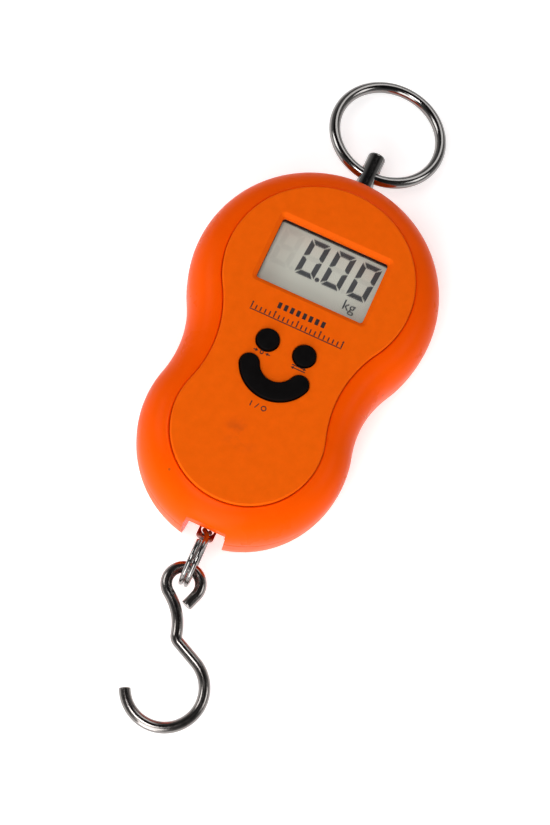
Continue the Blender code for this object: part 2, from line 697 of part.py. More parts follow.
# ------------------------------------------------------------------- display
def build_display():
    lens = add_prism(bmesh.new(), rounded_box(WINDOW_WIDTH + 2 * LENS_MARGIN,
                                              WINDOW_HEIGHT + 2 * LENS_MARGIN, 1.0,
                                              (0, WINDOW_Y), 3),
                     LENS_BACK, LENS_BACK + LENS_THICKNESS)
    publish("display_lens", lens, CLEAR)
    low = LENS_BACK - 0.1 - GASKET_THICKNESS
    outer = rounded_box(WINDOW_WIDTH + 2 * GASKET_WIDTH, WINDOW_HEIGHT + 2 * GASKET_WIDTH,
                        0.6, (0, 0), 3)
    inner = rounded_box(WINDOW_WIDTH, WINDOW_HEIGHT, 0.3, (0, 0), 3)
    frame = bmesh.new()
    rows = []
    for outline, z in ((inner, low), (outer, low), (outer, low + GASKET_THICKNESS),
                       (inner, low + GASKET_THICKNESS)):
        rows.append([frame.verts.new((x, y + WINDOW_Y, z)) for x, y in outline])
    rows.append(rows[0])
    for first, second in zip(rows, rows[1:]):
        for i in range(len(first)):
            j = (i + 1) % len(first)
            frame.faces.new((first[i], first[j], second[j], second[i]))
    publish("display_gasket", frame, BLACK_PLASTIC)
    width = WINDOW_WIDTH + 2 * LCD_MARGIN
    height = WINDOW_HEIGHT + 2 * LCD_MARGIN
    panel = bmesh.new()
    ledge = 2.6
    profile = [(-height / 2 + ledge, LCD_BACK), (height / 2 - ledge, LCD_BACK),
               (height / 2 - ledge, LCD_BACK + LCD_THICKNESS / 2),
               (height / 2, LCD_BACK + LCD_THICKNESS / 2), (height / 2, LCD_FRONT),
               (-height / 2, LCD_FRONT), (-height / 2, LCD_BACK + LCD_THICKNESS / 2),
               (-height / 2 + ledge, LCD_BACK + LCD_THICKNESS / 2)]
    add_prism(panel, [(WINDOW_Y + y, z) for y, z in profile], -width / 2, width / 2, "X")
    publish("lcd_panel", panel, LCD_GREY)
    for side, name in ((1, "zebra_strip_upper"), (-1, "zebra_strip_lower")):
        y = WINDOW_Y + side * (height / 2 - ledge / 2)
        strip = add_box(bmesh.new(), -14.0, 14.0, y - ZEBRA_WIDTH / 2 + 0.1,
                        y + ZEBRA_WIDTH / 2 - 0.1, BOARD_TOP + CLEARANCE,
                        LCD_BACK + LCD_THICKNESS / 2 - CLEARANCE)
        publish(name, strip, BLACK_RUBBER)


# ------------------------------------------------------------------- buttons
def build_button(name, outline_at, stub_centre):
    """Cap, retaining flange and stub of one button; origin on its slide axis."""
    top = CASE_THICKNESS + BUTTON_PROUD
    flange = outline_at(BUTTON_FLANGE)
    cap = outline_at(0.0)
    shoulder = outline_at(-0.15)
    crown = outline_at(-0.5)
    rings = [[(x, y, FLANGE_LOW) for x, y in flange], [(x, y, FLANGE_TOP) for x, y in flange],
             [(x, y, FLANGE_TOP) for x, y in cap], [(x, y, top - 0.5) for x, y in cap],
             [(x, y, top - 0.15) for x, y in shoulder], [(x, y, top) for x, y in crown]]
    body = add_loft(bmesh.new(), rings)
    button = publish(name, body, BLACK_RUBBER, origin=(*stub_centre, top))
    stub = add_prism(bmesh.new(), circle(1.2, 14, stub_centre), STUB_LOW, FLANGE_LOW + 0.5)
    combine(button, tool(name + "_stub", stub), "UNION")
    return button


def build_switch(stem_name, x, y):
    base_top = SWITCH_LOW + SWITCH_HEIGHT
    half = SWITCH_SIZE / 2
    base = publish(stem_name + "_switch_base",
                   add_prism(bmesh.new(), rounded_box(2 * half, 2 * half, 0.4, (x, y), 2),
                             SWITCH_LOW, base_top), BLACK_PLASTIC)
    hole = add_prism(bmesh.new(), circle(PLUNGER_RADIUS + CLEARANCE, 16, (x, y)), SWITCH_WELL,
                     base_top + 1)
    combine(base, tool(stem_name + "_switch_well", hole), "DIFFERENCE")
    plunger = add_lathe(bmesh.new(), [(PLUNGER_RADIUS, -PLUNGER_LENGTH), (PLUNGER_RADIUS, -0.15),
                                      (PLUNGER_RADIUS - 0.15, 0)],
                        (x, y, PLUNGER_TOP), "Z", 16)
    publish(stem_name + "_switch_plunger", plunger, CONTACT_METAL, origin=(x, y, PLUNGER_TOP))


def build_controls():
    build_button("tare_button", lambda grow: eye_outline(-1, BUTTON_RADIUS + grow),
                 (-BUTTON_X, BUTTON_Y))
    build_button("unit_button", lambda grow: eye_outline(1, BUTTON_RADIUS + grow),
                 (BUTTON_X, BUTTON_Y))
    power_centre = (0.0, POWER_Y - POWER_RADIUS)
    build_button("power_button", lambda grow: smile_band(POWER_HALF_WIDTH + grow),
                 power_centre)
    build_switch("tare", -BUTTON_X, BUTTON_Y)
    build_switch("unit", BUTTON_X, BUTTON_Y)
    build_switch("power", *power_centre)


# --------------------------------------------------------------------- board
def build_board():
    height = BOARD_TOP_Y - BOARD_BOTTOM_Y
    middle = (BOARD_TOP_Y + BOARD_BOTTOM_Y) / 2
    board = publish("main_board",
                    add_prism(bmesh.new(), rounded_box(2 * BOARD_HALF_WIDTH, height, 2.0,
                                                       (0, middle), 3),
                              BOARD_UNDERSIDE, BOARD_TOP), BOARD_GREEN)
    holes = bmesh.new()
    for x, y in BOARD_SCREWS:
        add_prism(holes, circle(BOARD_SCREW_RADIUS + CLEARANCE, 12, (x, y)),
                  BOARD_UNDERSIDE - 1, BOARD_TOP + 1)
    combine(board, tool("main_board_holes", holes), "DIFFERENCE")
    chip = add_lathe(bmesh.new(), [(4.6, 0.0), (4.5, 0.35), (3.6, 0.85), (2.0, 1.1)],
                     (0, 4.5, BOARD_TOP + CLEARANCE), "Z", 20)
    publish("controller_chip", chip, BLACK_PLASTIC)
    names = ("board_screw_upper_right", "board_screw_upper_left",
             "board_screw_lower_right", "board_screw_lower_left")
    for name, (x, y) in zip(names, BOARD_SCREWS):
        seat = BOARD_UNDERSIDE - CLEARANCE
        profile = [(1.3, -1.1), (1.7, -0.8), (1.7, 0.0), (BOARD_SCREW_RADIUS, 0.0),
                   (BOARD_SCREW_RADIUS, 3.6), (0.3, 4.2)]
        publish(name, add_lathe(bmesh.new(), profile, (x, y, seat), "Z", 14), ZINC)


# ----------------------------------------------------------------- load cell
def build_load_cell():
    half = CELL_HALF_WIDTH
    gap = CELL_SLOT / 2
    bar = 4.5
    nut_room = NUT_THICKNESS + WASHER_THICKNESS + 3 * CLEARANCE
    low = CELL_LOWER_SLOT_Y
    outline = [(-half, CELL_BOTTOM_Y), (half, CELL_BOTTOM_Y), (half, CELL_UPPER_SLOT_Y - gap),
               (-half + bar, CELL_UPPER_SLOT_Y - gap), (-half + bar, CELL_UPPER_SLOT_Y + gap),
               (half, CELL_UPPER_SLOT_Y + gap), (half, CELL_TOP_Y), (-half, CELL_TOP_Y),
               (-half, low + gap), (LOWER_STEM_X + WASHER_RADIUS + 1, low + gap),
               (LOWER_STEM_X + WASHER_RADIUS + 1, low - gap - nut_room),
               (LOWER_STEM_X - WASHER_RADIUS - 1, low - gap - nut_room),
               (LOWER_STEM_X - WASHER_RADIUS - 1, low - gap), (-half, low - gap)]
    cell = publish("load_cell", add_prism(bmesh.new(), outline, CELL_BACK, CELL_FRONT),
                   ALUMINIUM)
    cuts = bmesh.new()
    r = CELL_EYE_RADIUS
    d = CELL_EYE_SPACING
    dumbbell = arc((d, 0), r, -150, 150, 16) + arc((-d, 0), r, 30, 330, 16)
    add_prism(cuts, dumbbell, CELL_BACK - 1, CELL_FRONT + 1)
    add_lathe(cuts, [(SHANK_RADIUS + CLEARANCE, 0), (SHANK_RADIUS + CLEARANCE, 9)],
              (0, CELL_TOP_Y - 8, PARTING_HEIGHT), "Y", 16)
    add_lathe(cuts, [(SHANK_RADIUS + CLEARANCE, 0), (SHANK_RADIUS + CLEARANCE, 13)],
              (LOWER_STEM_X, CELL_BOTTOM_Y - 1, PARTING_HEIGHT), "Y", 16)
    combine(cell, tool("load_cell_cuts", cuts), "DIFFERENCE")
    for name, y in (("strain_gauge_upper", CELL_EYE_RADIUS + 2.6),
                    ("strain_gauge_lower", -CELL_EYE_RADIUS - 2.6)):
        low_z = CELL_FRONT + 0.2
        foil = add_box(bmesh.new(), -GAUGE_LENGTH / 2, GAUGE_LENGTH / 2, y - GAUGE_WIDTH / 2,
                       y + GAUGE_WIDTH / 2, low_z, low_z + GAUGE_THICKNESS)
        publish(name, foil, GAUGE_FOIL)


# ------------------------------------------------------------ hanger and ring
def build_hanger():
    collar_top = CASE_TOP_Y - WALL - 4 * CLEARANCE
    collar_low = collar_top - COLLAR_THICKNESS
    profile = [(SHANK_RADIUS, CELL_TOP_Y - 7), (SHANK_RADIUS, CELL_TOP_Y + 4.2),
               (TOP_STEM_RADIUS, CELL_TOP_Y + 4.2), (TOP_STEM_RADIUS, collar_low),
               (COLLAR_RADIUS, collar_low), (COLLAR_RADIUS, collar_top),
               (TOP_STEM_RADIUS, collar_top), (TOP_STEM_RADIUS, TOP_STEM_END_Y - 0.6),
               (TOP_STEM_RADIUS - 0.6, TOP_STEM_END_Y)]
    stem = publish("hanger_stem", add_lathe(bmesh.new(), profile, (0, 0, PARTING_HEIGHT),
                                            "Y", 24), STEEL)
    hole = add_lathe(bmesh.new(), [(TOP_HOLE_RADIUS + 0.4, -4), (TOP_HOLE_RADIUS + 0.4, -2.3),
                                   (TOP_HOLE_RADIUS, -1.7), (TOP_HOLE_RADIUS, 1.7),
                                   (TOP_HOLE_RADIUS + 0.4, 2.3), (TOP_HOLE_RADIUS + 0.4, 4)],
                     (0, TOP_HOLE_Y, PARTING_HEIGHT), "X", 20)
    combine(stem, tool("hanger_stem_hole", hole), "DIFFERENCE")
    hexagon = circle(NUT_ACROSS_FLATS / math.sqrt(3), 6)
    outer = []
    for i in range(6):
        a, b = Vector(hexagon[i]), Vector(hexagon[(i + 1) % 6])
        outer += [tuple(a), tuple(a.lerp(b, 1 / 3)), tuple(a.lerp(b, 2 / 3))]
    nut = add_washer(bmesh.new(), outer, SHANK_RADIUS + CLEARANCE, CELL_TOP_Y + 0.6,
                     CELL_TOP_Y + 0.6 + NUT_THICKNESS, (0, 0, PARTING_HEIGHT))
    publish("hanger_nut", nut, ZINC)
    path = []
    for u, v in circle(RING_RADIUS, 48, start=-math.pi / 2):
        flat = Vector((u, v + RING_RADIUS - 0.1, 0))
        flat.rotate(Matrix.Rotation(math.radians(RING_LEAN), 3, "Y"))
        path.append(flat + Vector((0, TOP_HOLE_Y, PARTING_HEIGHT)))
    ring = add_tube(bmesh.new(), path, RING_WIRE_RADIUS, 12, closed=True)
    publish("hanger_ring", ring, STEEL, origin=(0, TOP_HOLE_Y, PARTING_HEIGHT),
            turn=(-RING_DROOP, 0, 0))
    return outer


# --------------------------------------------------- swivel, split ring, hook
def build_swivel(nut_outline):
    inside = CELL_LOWER_SLOT_Y - CELL_SLOT / 2 - NUT_THICKNESS - WASHER_THICKNESS
    inside -= 3 * CLEARANCE
    bar_end = inside + CLEARANCE
    origin = (LOWER_STEM_X, LOWER_HOLE_Y, PARTING_HEIGHT)
    shoulder = CELL_BOTTOM_Y - CLEARANCE
    profile = [(LOWER_STEM_RADIUS - 0.4, LOWER_STEM_END_Y),
               (LOWER_STEM_RADIUS, LOWER_STEM_END_Y + 0.4),
               (LOWER_STEM_RADIUS, shoulder), (SHANK_RADIUS, shoulder),
               (SHANK_RADIUS, bar_end + WASHER_THICKNESS + NUT_THICKNESS + 2 * CLEARANCE)]
    stem = publish("swivel_stem",
                   add_lathe(bmesh.new(), profile, (LOWER_STEM_X, 0, PARTING_HEIGHT), "Y", 24),
                   STEEL, origin=origin)
    wide = LOWER_HOLE_RADIUS + 0.45
    hole = add_lathe(bmesh.new(), [(wide, -4), (wide, -2.2), (LOWER_HOLE_RADIUS, -1.4),
                                   (LOWER_HOLE_RADIUS, 1.4), (wide, 2.2), (wide, 4)],
                     (LOWER_STEM_X, LOWER_HOLE_Y, PARTING_HEIGHT), "Z", 20)
    combine(stem, tool("swivel_stem_hole", hole), "DIFFERENCE")
    washer = add_washer(bmesh.new(), circle(WASHER_RADIUS, 24), SHANK_RADIUS + CLEARANCE,
                        bar_end, bar_end + WASHER_THICKNESS,
                        (LOWER_STEM_X, 0, PARTING_HEIGHT))
    publish("swivel_washer", washer, ZINC)
    low = bar_end + WASHER_THICKNESS + CLEARANCE
    slim = [(u * 0.85, v * 0.85) for u, v in nut_outline]
    nut = add_washer(bmesh.new(), slim, SHANK_RADIUS + 0.15, low,
                     low + NUT_THICKNESS - CLEARANCE, (LOWER_STEM_X, 0, PARTING_HEIGHT))
    publish("swivel_nut", nut, ZINC, origin=origin, parent=stem)

    seat = Vector((LOWER_STEM_X, LOWER_HOLE_Y - SPLIT_SEAT, PARTING_HEIGHT))
    droop = math.radians(SPLIT_DROOP)
    down = Vector((0, -math.cos(droop), -math.sin(droop)))
    front = Vector((0, -math.sin(droop), math.cos(droop)))
    centre = seat + down * SPLIT_RADIUS
    path = []
    sweep = 660
    steps = 60
    begin = 60
    for i in range(steps + 1):
        turn = sweep * i / steps
        angle = math.radians(begin + turn)
        blend = min(max((turn - 305) / 45, 0.0), 1.0)
        shift = (blend * blend * (3 - 2 * blend) - 0.5) * SPLIT_PITCH
        path.append(centre + SPLIT_RADIUS * (math.cos(angle) * -down + math.sin(angle) * front)
                    + Vector((shift, 0, 0)))
    split = add_tube(bmesh.new(), path, SPLIT_WIRE_RADIUS, 8)
    split_ring = publish("split_ring", split, STEEL, origin=origin, parent=stem)

    pivot = seat + down * (2 * SPLIT_RADIUS)
    tail_angle = math.radians(HOOK_TAIL_HEADING)
    eye = (pivot.x + 0.1, pivot.y)
    foot = (eye[0] + HOOK_EYE_RADIUS * math.sin(tail_angle) - HOOK_TAIL * math.cos(tail_angle),
            eye[1] - HOOK_EYE_RADIUS * math.cos(tail_angle) - HOOK_TAIL * math.sin(tail_angle))
    bends = [("run", HOOK_TAIL), ("bend", HOOK_EYE_RADIUS, HOOK_EYE_SWEEP),
             ("bend", HOOK_NECK_RADIUS, -HOOK_NECK_SWEEP), ("run", 0.4),
             ("bend", HOOK_KINK_RADIUS, HOOK_KINK_SWEEP), ("run", HOOK_SHANK),
             ("bend", HOOK_BOW_RADIUS, -HOOK_BOW_SWEEP)]
    wire = [(x, y, pivot.z) for x, y in bend_wire(foot, HOOK_TAIL_HEADING, bends)]
    hook = add_tube(bmesh.new(), wire, HOOK_WIRE_RADIUS, 12)
    publish("hook", hook, NICKEL, origin=tuple(pivot), parent=split_ring)


# ------------------------------------------------------------ batteries, power
def build_battery(name, side, nub_up):
    length = CELL_AAA_LENGTH
    low = WELL_TOP_Y - 1.7 - length - CELL_AAA_NUB if nub_up else WELL_BOTTOM_Y + 1.7
    body = [(CELL_AAA_RADIUS - 0.4, 0.0), (CELL_AAA_RADIUS, 0.4),
            (CELL_AAA_RADIUS, length - 0.4), (CELL_AAA_RADIUS - 0.4, length),
            (1.9, length), (1.9, length + CELL_AAA_NUB)]
    if not nub_up:
        total = length + CELL_AAA_NUB
        body = [(radius, total - distance) for radius, distance in reversed(body)]
    cell = add_lathe(bmesh.new(), body, (side * BATTERY_X, low, BATTERY_HEIGHT), "Y", 24)
    publish(name, cell, BATTERY_JACKET)
    return low, low + length + CELL_AAA_NUB


def build_spring(name, side, from_y, to_y):
    """Conical coil from its wide end against a contact to its narrow end."""
    steps = round(SPRING_TURNS * 12)
    path = []
    for i in range(steps + 1):
        part = i / steps
        angle = 2 * math.pi * SPRING_TURNS * part
        radius = 3.4 - 1.6 * part
        path.append((side * BATTERY_X + radius * math.cos(angle),
                     from_y + (to_y - from_y) * part,
                     BATTERY_HEIGHT + radius * math.sin(angle)))
    publish(name, add_tube(bmesh.new(), path, SPRING_WIRE_RADIUS, 6), CONTACT_METAL)


def build_contact(name, side):
    """Flat contact at the well's upper end with a tab through its ceiling."""
    front = WELL_TOP_Y - CLEARANCE
    back = front - CONTACT_THICKNESS
    x = side * BATTERY_X
    low, high = TAB_TOP + CLEARANCE, BATTERY_HEIGHT + 4.0
    outline = [(x - 3.6, low), (x + 3.6, low), (x + 3.6, high), (x + 1.2, high),
               (x + 1.2, WELL_CEILING + 1.4), (x - 1.2, WELL_CEILING + 1.4),
               (x - 1.2, high), (x - 3.6, high)]
    publish(name, add_prism(bmesh.new(), outline, back, front, "Y"), CONTACT_METAL)
    return back


def build_lead(name, side, mat):
    """Insulated wire from a contact's tab up to the underside of the board."""
    x = side * BATTERY_X
    y = WELL_TOP_Y - CLEARANCE - CONTACT_THICKNESS / 2
    low = WELL_CEILING + 1.4 + 0.15
    high = BOARD_UNDERSIDE - 0.15
    path = []
    for i in range(13):
        part = i / 12
        ease = part * part * (3 - 2 * part)
        path.append((x + side * 1.6 * ease, y + 0.9 * math.sin(math.pi * part),
                     low + (high - low) * part))
    publish(name, add_tube(bmesh.new(), path, LEAD_RADIUS, 8), mat)


def build_gauge_lead(name, y, mat):
    """Thin lead from beside a gauge, out past the board's edge and onto it."""
    low = CELL_FRONT + (BOARD_UNDERSIDE - CELL_FRONT) / 2
    high = BOARD_TOP + GAUGE_LEAD_RADIUS + 0.1
    edge = BOARD_HALF_WIDTH
    bend = (high - low) / 2
    path = [(GAUGE_LENGTH / 2 + 0.4, y, low), (edge - 2.0, y, low)]
    for i in range(9):
        angle = math.radians(-90 + 180 * i / 8)
        path.append((edge + 0.2 + bend * math.cos(angle), y, low + bend + bend * math.sin(angle)))
    path.append((edge - 1.6, y, high))
    publish(name, add_tube(bmesh.new(), path, GAUGE_LEAD_RADIUS, 6), mat)


def build_power():
    right = build_battery("battery_right", 1, True)
    left = build_battery("battery_left", -1, False)
    plate_face = build_contact("contact_plus", 1)
    build_contact("contact_minus", -1)
    build_spring("contact_spring_minus", -1, plate_face - 0.5, left[1] + 0.5)
    low = WELL_BOTTOM_Y + CLEARANCE
    bridge = rounded_box(2 * (BATTERY_X + 3.6), 8.0, 0.8, (0, BATTERY_HEIGHT), 2)
    publish("bridge_contact", add_prism(bmesh.new(), bridge, low, low + CONTACT_THICKNESS, "Y"),
            CONTACT_METAL)
    build_spring("bridge_spring", 1, low + CONTACT_THICKNESS + 0.5, right[0] - 0.5)
    build_lead("battery_lead_red", 1, RED_LEAD)
    build_lead("battery_lead_black", -1, BLACK_LEAD)
    build_gauge_lead("gauge_lead_white", CELL_EYE_RADIUS + 1.2, WHITE_LEAD)
    build_gauge_lead("gauge_lead_red", -CELL_EYE_RADIUS - 1.2, RED_LEAD)


# -------------------------------------------------------------- battery cover
def build_battery_cover():
    x = WELL_HALF_WIDTH + COVER_LEDGE - CLEARANCE
    low = WELL_BOTTOM_Y - COVER_LEDGE + CLEARANCE
    high = WELL_TOP_Y + COVER_LEDGE - CLEARANCE
    hinge = (0, WELL_TOP_Y + COVER_LEDGE, 0)
    middle = (low + high) / 2
    plate = add_prism(bmesh.new(), rounded_box(2 * x, high - low, 0.8, (0, middle), 3),
                      0.0, COVER_THICKNESS)
    cover = publish("battery_cover", plate, ORANGE, origin=hinge)
    tabs = bmesh.new()
    for side in (-1, 1):
        front, back, tip = WELL_TOP_Y - 1.2, WELL_TOP_Y - 0.3, WELL_TOP_Y + WELL_WALL
        profile = [(front, COVER_THICKNESS - 0.5), (back, COVER_THICKNESS - 0.5),
                   (back, TAB_LOW), (tip, TAB_LOW), (tip, TAB_TOP), (front, TAB_TOP)]
        add_prism(tabs, profile, side * 8 - 1.6, side * 8 + 1.6, "X")
    for side in (-1, 1):
        add_box(tabs, side * BATTERY_X - 4, side * BATTERY_X + 4, -2.0, 18.0,
                COVER_THICKNESS - 0.5, COVER_THICKNESS + 0.15)
    combine(cover, tool("battery_cover_tabs", tabs), "UNION")
    grip = bmesh.new()
    for i in range(4):
        y = low + 4.0 + 2.2 * i
        add_box(grip, -5.0, 5.0, y, y + 1.0, -1.0, 0.5)
    combine(cover, tool("battery_cover_grip", grip), "DIFFERENCE")


def build_case_screws():
    names = ("case_screw_upper_right", "case_screw_upper_left",
             "case_screw_lower_right", "case_screw_lower_left")
    for name, (x, y) in zip(names, CASE_SCREWS):
        head = SCREW_SEAT - CLEARANCE
        profile = [(SCREW_HEAD_RADIUS - 0.5, head - SCREW_HEAD_HEIGHT),
                   (SCREW_HEAD_RADIUS, head - SCREW_HEAD_HEIGHT + 0.5),
                   (SCREW_HEAD_RADIUS, head), (SCREW_RADIUS, head),
                   (SCREW_RADIUS, head + SCREW_LENGTH - 2), (0.3, head + SCREW_LENGTH)]
        screw = publish(name, add_lathe(bmesh.new(), profile, (x, y, 0), "Z", 18), ZINC)
        a, b = 0.4, 1.6
        cross = [(a, a), (a, b), (-a, b), (-a, a), (-b, a), (-b, -a), (-a, -a), (-a, -b),
                 (a, -b), (a, -a), (b, -a), (b, a)]
        slot = add_prism(bmesh.new(), [(x + u, y + v) for u, v in cross],
                         head - SCREW_HEAD_HEIGHT - 1, head - SCREW_HEAD_HEIGHT + 1.0)
        combine(screw, tool(name + "_recess", slot), "DIFFERENCE")


hull_body = trimming_hull("case_hull", 0.5)
build_front_shell(hull_body)
build_rear_shell(hull_body)
build_face_plate()
build_display()
build_controls()
build_board()
build_load_cell()
nut_shape = build_hanger()
build_swivel(nut_shape)
build_power()
build_battery_cover()
build_case_screws()
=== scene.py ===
"""Hanging digital fish scale: a two-lobed plastic case with a display, three
rubber keys, a hanger ring and a wire hook on a split ring.

Laid out as a Blender add-on and run as a script.  Pieces are drawn in
millimetres round the middle of the case, and new_object() moves them to their
place in metres, where +Y runs to the hanger ring and +Z out of the display.
"""
import math
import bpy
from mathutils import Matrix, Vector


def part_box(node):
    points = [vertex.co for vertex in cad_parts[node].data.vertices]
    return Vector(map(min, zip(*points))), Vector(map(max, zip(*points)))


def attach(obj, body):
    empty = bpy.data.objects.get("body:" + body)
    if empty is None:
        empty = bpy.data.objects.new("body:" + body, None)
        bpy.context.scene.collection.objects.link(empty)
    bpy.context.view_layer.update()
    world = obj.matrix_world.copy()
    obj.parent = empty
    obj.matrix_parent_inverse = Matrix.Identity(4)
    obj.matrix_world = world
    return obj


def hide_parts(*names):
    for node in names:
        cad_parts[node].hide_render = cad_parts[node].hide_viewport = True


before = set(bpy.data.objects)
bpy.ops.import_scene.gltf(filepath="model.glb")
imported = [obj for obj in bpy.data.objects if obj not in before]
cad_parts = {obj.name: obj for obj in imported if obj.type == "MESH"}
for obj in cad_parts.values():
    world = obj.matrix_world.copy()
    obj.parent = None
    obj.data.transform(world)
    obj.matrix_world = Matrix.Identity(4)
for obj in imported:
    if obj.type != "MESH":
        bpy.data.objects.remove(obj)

from types import SimpleNamespace

import bmesh
import bpy
from bpy.props import FloatProperty, FloatVectorProperty, IntProperty, PointerProperty
from bpy.types import Operator, Panel, PropertyGroup
from mathutils import Matrix, Vector

bl_info = {
    "name": "Digital Fish Scale",
    "version": (1, 0, 0),
    "blender": (4, 5, 0),
    "location": "View3D > Sidebar > Fish Scale",
    "description": "Builds the looks of a hanging digital fish scale on its fixed frame",
    "category": "Add Mesh",
}

MM = 0.001
CLEARANCE = 0.3
SEAM = 0.13                          # gap round the face plate, as it shows
AXIS_Z = 17.0                        # height of the stems' and rings' axis
MERGE_REACH = 1e-6                   # metres within which points are merged
CASE_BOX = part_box("front_shell")
PLATE_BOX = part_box("face_plate")
MIDDLE = Vector((0.0, 26.0, 0.0))    # from the case's middle to the world's origin
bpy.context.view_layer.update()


# ------------------------------------------------------------------ settings
def linear(code):
    """Linear RGB of an sRGB #rrggbb colour."""
    parts = [int(code[i:i + 2], 16) / 255 for i in (1, 3, 5)]
    return tuple(c / 12.92 if c <= 0.04045 else ((c + 0.055) / 1.055) ** 2.4 for c in parts)


def size(label, text, value):
    return FloatProperty(name=label, description=text, default=value * MM,
                         unit="LENGTH", precision=5)


def angle(label, text, value):
    return FloatProperty(name=label, description=text, default=math.radians(value),
                         subtype="ANGLE")


def tint(label, text, code):
    return FloatVectorProperty(name=label, description=text, default=linear(code),
                               subtype="COLOR", min=0.0, max=1.0)


class CaseSizes(PropertyGroup):
    upper_radius: size("Upper lobe", "Radius of the lobe that holds the display",
                       (CASE_BOX[1].x - CASE_BOX[0].x) / 2 / MM)
    upper_y: size("Upper lobe centre", "Distance of its centre above the case's middle", 20.2)
    lower_radius: size("Lower lobe", "Radius of the lobe at the hook end", 28.8)
    lower_y: size("Lower lobe centre", "Place of its centre along the case", -26.0)
    waist_radius: size("Waist", "Radius of the hollow curve between the lobes", 32.0)
    thickness: size("Thickness", "From the flat back to the face plate", PLATE_BOX[1].z / MM)
    parting: size("Parting line", "Height at which the two shells meet", AXIS_Z)
    wall: size("Wall", "Thickness of the moulded walls", 2.0)
    rim_width: size("Rim width", "How far the front rim rolls in", 10.0)
    rim_height: size("Rim height", "How far the front rim rises", 12.2)
    back_round: size("Back rounding", "How far the back edge rolls in", 6.0)


class PlateSizes(PropertyGroup):
    upper_radius: size("Upper lobe", "Radius of the plate's upper lobe", 26.1)
    upper_y: size("Upper lobe centre", "Place of its centre along the case", 20.7)
    lower_radius: size("Lower lobe", "Radius of the plate's lower lobe", 20.4)
    lower_y: size("Lower lobe centre", "Place of its centre along the case", -26.4)
    waist_radius: size("Waist", "Radius of the hollow curve between the lobes", 34.0)
    thickness: size("Thickness", "Thickness of the face plate", 2.2)
    edge_round: size("Edge rounding", "Rounding of the plate's raised edge", 0.5)
    window_width: size("Window width", "Width of the display opening", 31.0)
    window_height: size("Window height", "Height of the display opening", 19.1)
    window_y: size("Window centre", "Place of the window along the case", 23.05)
    window_bevel: size("Window bevel", "Width of the chamfer round the window", 1.2)
    bevel_depth: size("Bevel depth", "Depth of the chamfer round the window", 0.8)


class KeySizes(PropertyGroup):
    eye_x: size("Round key offset", "Distance of each round key from the middle", 5.3)
    eye_y: size("Round key place", "Place of the round keys along the case", -1.85)
    eye_radius: size("Round key radius", "Radius of the round keys", 3.0)
    proud: size("Key height", "How far the keys stand out of the plate", 1.0)
    smile_y: size("Curved key centre", "Centre of the curved key's arc", -6.8)
    smile_radius: size("Curved key arc", "Radius of the curved key's middle line", 7.75)
    smile_width: size("Curved key half width", "Half the width of the curved key", 2.5)
    smile_angle: angle("Curved key reach", "Angle from straight down to either end", 68.0)


class MetalSizes(PropertyGroup):
    top_hole_y: size("Ring hole", "Place of the hanger stem's hole", 59.5)
    ring_radius: size("Ring radius", "Radius of the hanger ring's middle line", 15.6)
    ring_wire: size("Ring wire", "Radius of the hanger ring's wire", 1.6)
    ring_droop: angle("Ring droop", "How far the ring tips towards the back", 8.3)
    ring_lean: angle("Ring lean", "How far the ring is turned in its hole", 4.0)
    lower_hole_y: size("Swivel hole", "Place of the swivel stem's hole", -52.4)
    stem_x: size("Swivel offset", "Sideways place of the swivel stem", 1.1)
    split_radius: size("Split ring radius", "Radius of the split ring's middle line", 7.5)
    split_wire: size("Split ring wire", "Radius of the split ring's wire", 0.65)
    split_pitch: size("Split ring pitch", "Distance between its two coils", 1.5)
    split_droop: angle("Split ring droop", "How far the split ring tips back", 6.0)
    hook_wire: size("Hook wire", "Radius of the hook's wire", 1.55)
    wire_sides: IntProperty(name="Wire sides", description="Flats round each wire",
                            default=40, min=8, max=96)


class ScaleColours(PropertyGroup):
    shell: tint("Shell", "Glossy orange ABS of the two shells", "#fa5500")
    plate: tint("Face plate", "Satin orange ABS of the face plate", "#f66204")
    rubber: tint("Rubber", "Black silicone of the keys", "#070505")
    display: tint("Display", "Grey-green of the liquid crystal panel", "#dadcd0")
    segment: tint("Segment", "Dark of a driven display segment", "#4b4d50")
    print_ink: tint("Print", "Ink of the marks on the face plate", "#2a1712")
    chrome: tint("Bright nickel", "Plating of the stems and rings", "#918e8c")
    wire: tint("Hook nickel", "Darker plating of the hook", "#8b8683")
    zinc: tint("Zinc", "Plating of screws, nuts and washer", "#b0aea6")
    aluminium: tint("Aluminium", "Milled aluminium of the load cell", "#bcc0c3")
    board: tint("Board", "Solder mask of the main board", "#1d5a33")
    jacket: tint("Battery jacket", "Printed jacket of the cells", "#3a4552")


class ScaleSettings(PropertyGroup):
    case: PointerProperty(type=CaseSizes)
    plate: PointerProperty(type=PlateSizes)
    keys: PointerProperty(type=KeySizes)
    metal: PointerProperty(type=MetalSizes)
    colours: PointerProperty(type=ScaleColours)


def in_mm(group):
    """The group's lengths in millimetres and its angles in degrees."""
    found = {}
    for item in group.bl_rna.properties:
        if item.type == "FLOAT" and item.unit == "LENGTH":
            found[item.identifier] = getattr(group, item.identifier) / MM
        elif item.type == "FLOAT" and item.unit == "ROTATION":
            found[item.identifier] = math.degrees(getattr(group, item.identifier))
        elif item.type == "INT":
            found[item.identifier] = getattr(group, item.identifier)
    return SimpleNamespace(**found)


# ------------------------------------------------------------------- shapes
def circle(radius, count, centre=(0.0, 0.0), start=0.0):
    return [(centre[0] + radius * math.cos(start + 2 * math.pi * i / count),
             centre[1] + radius * math.sin(start + 2 * math.pi * i / count))
            for i in range(count)]


def arc(centre, radius, start, end, count):
    """Points from start to end, in degrees, without the last one."""
    turns = [math.radians(start + (end - start) * i / count) for i in range(count)]
    return [(centre[0] + radius * math.cos(t), centre[1] + radius * math.sin(t))
            for t in turns]


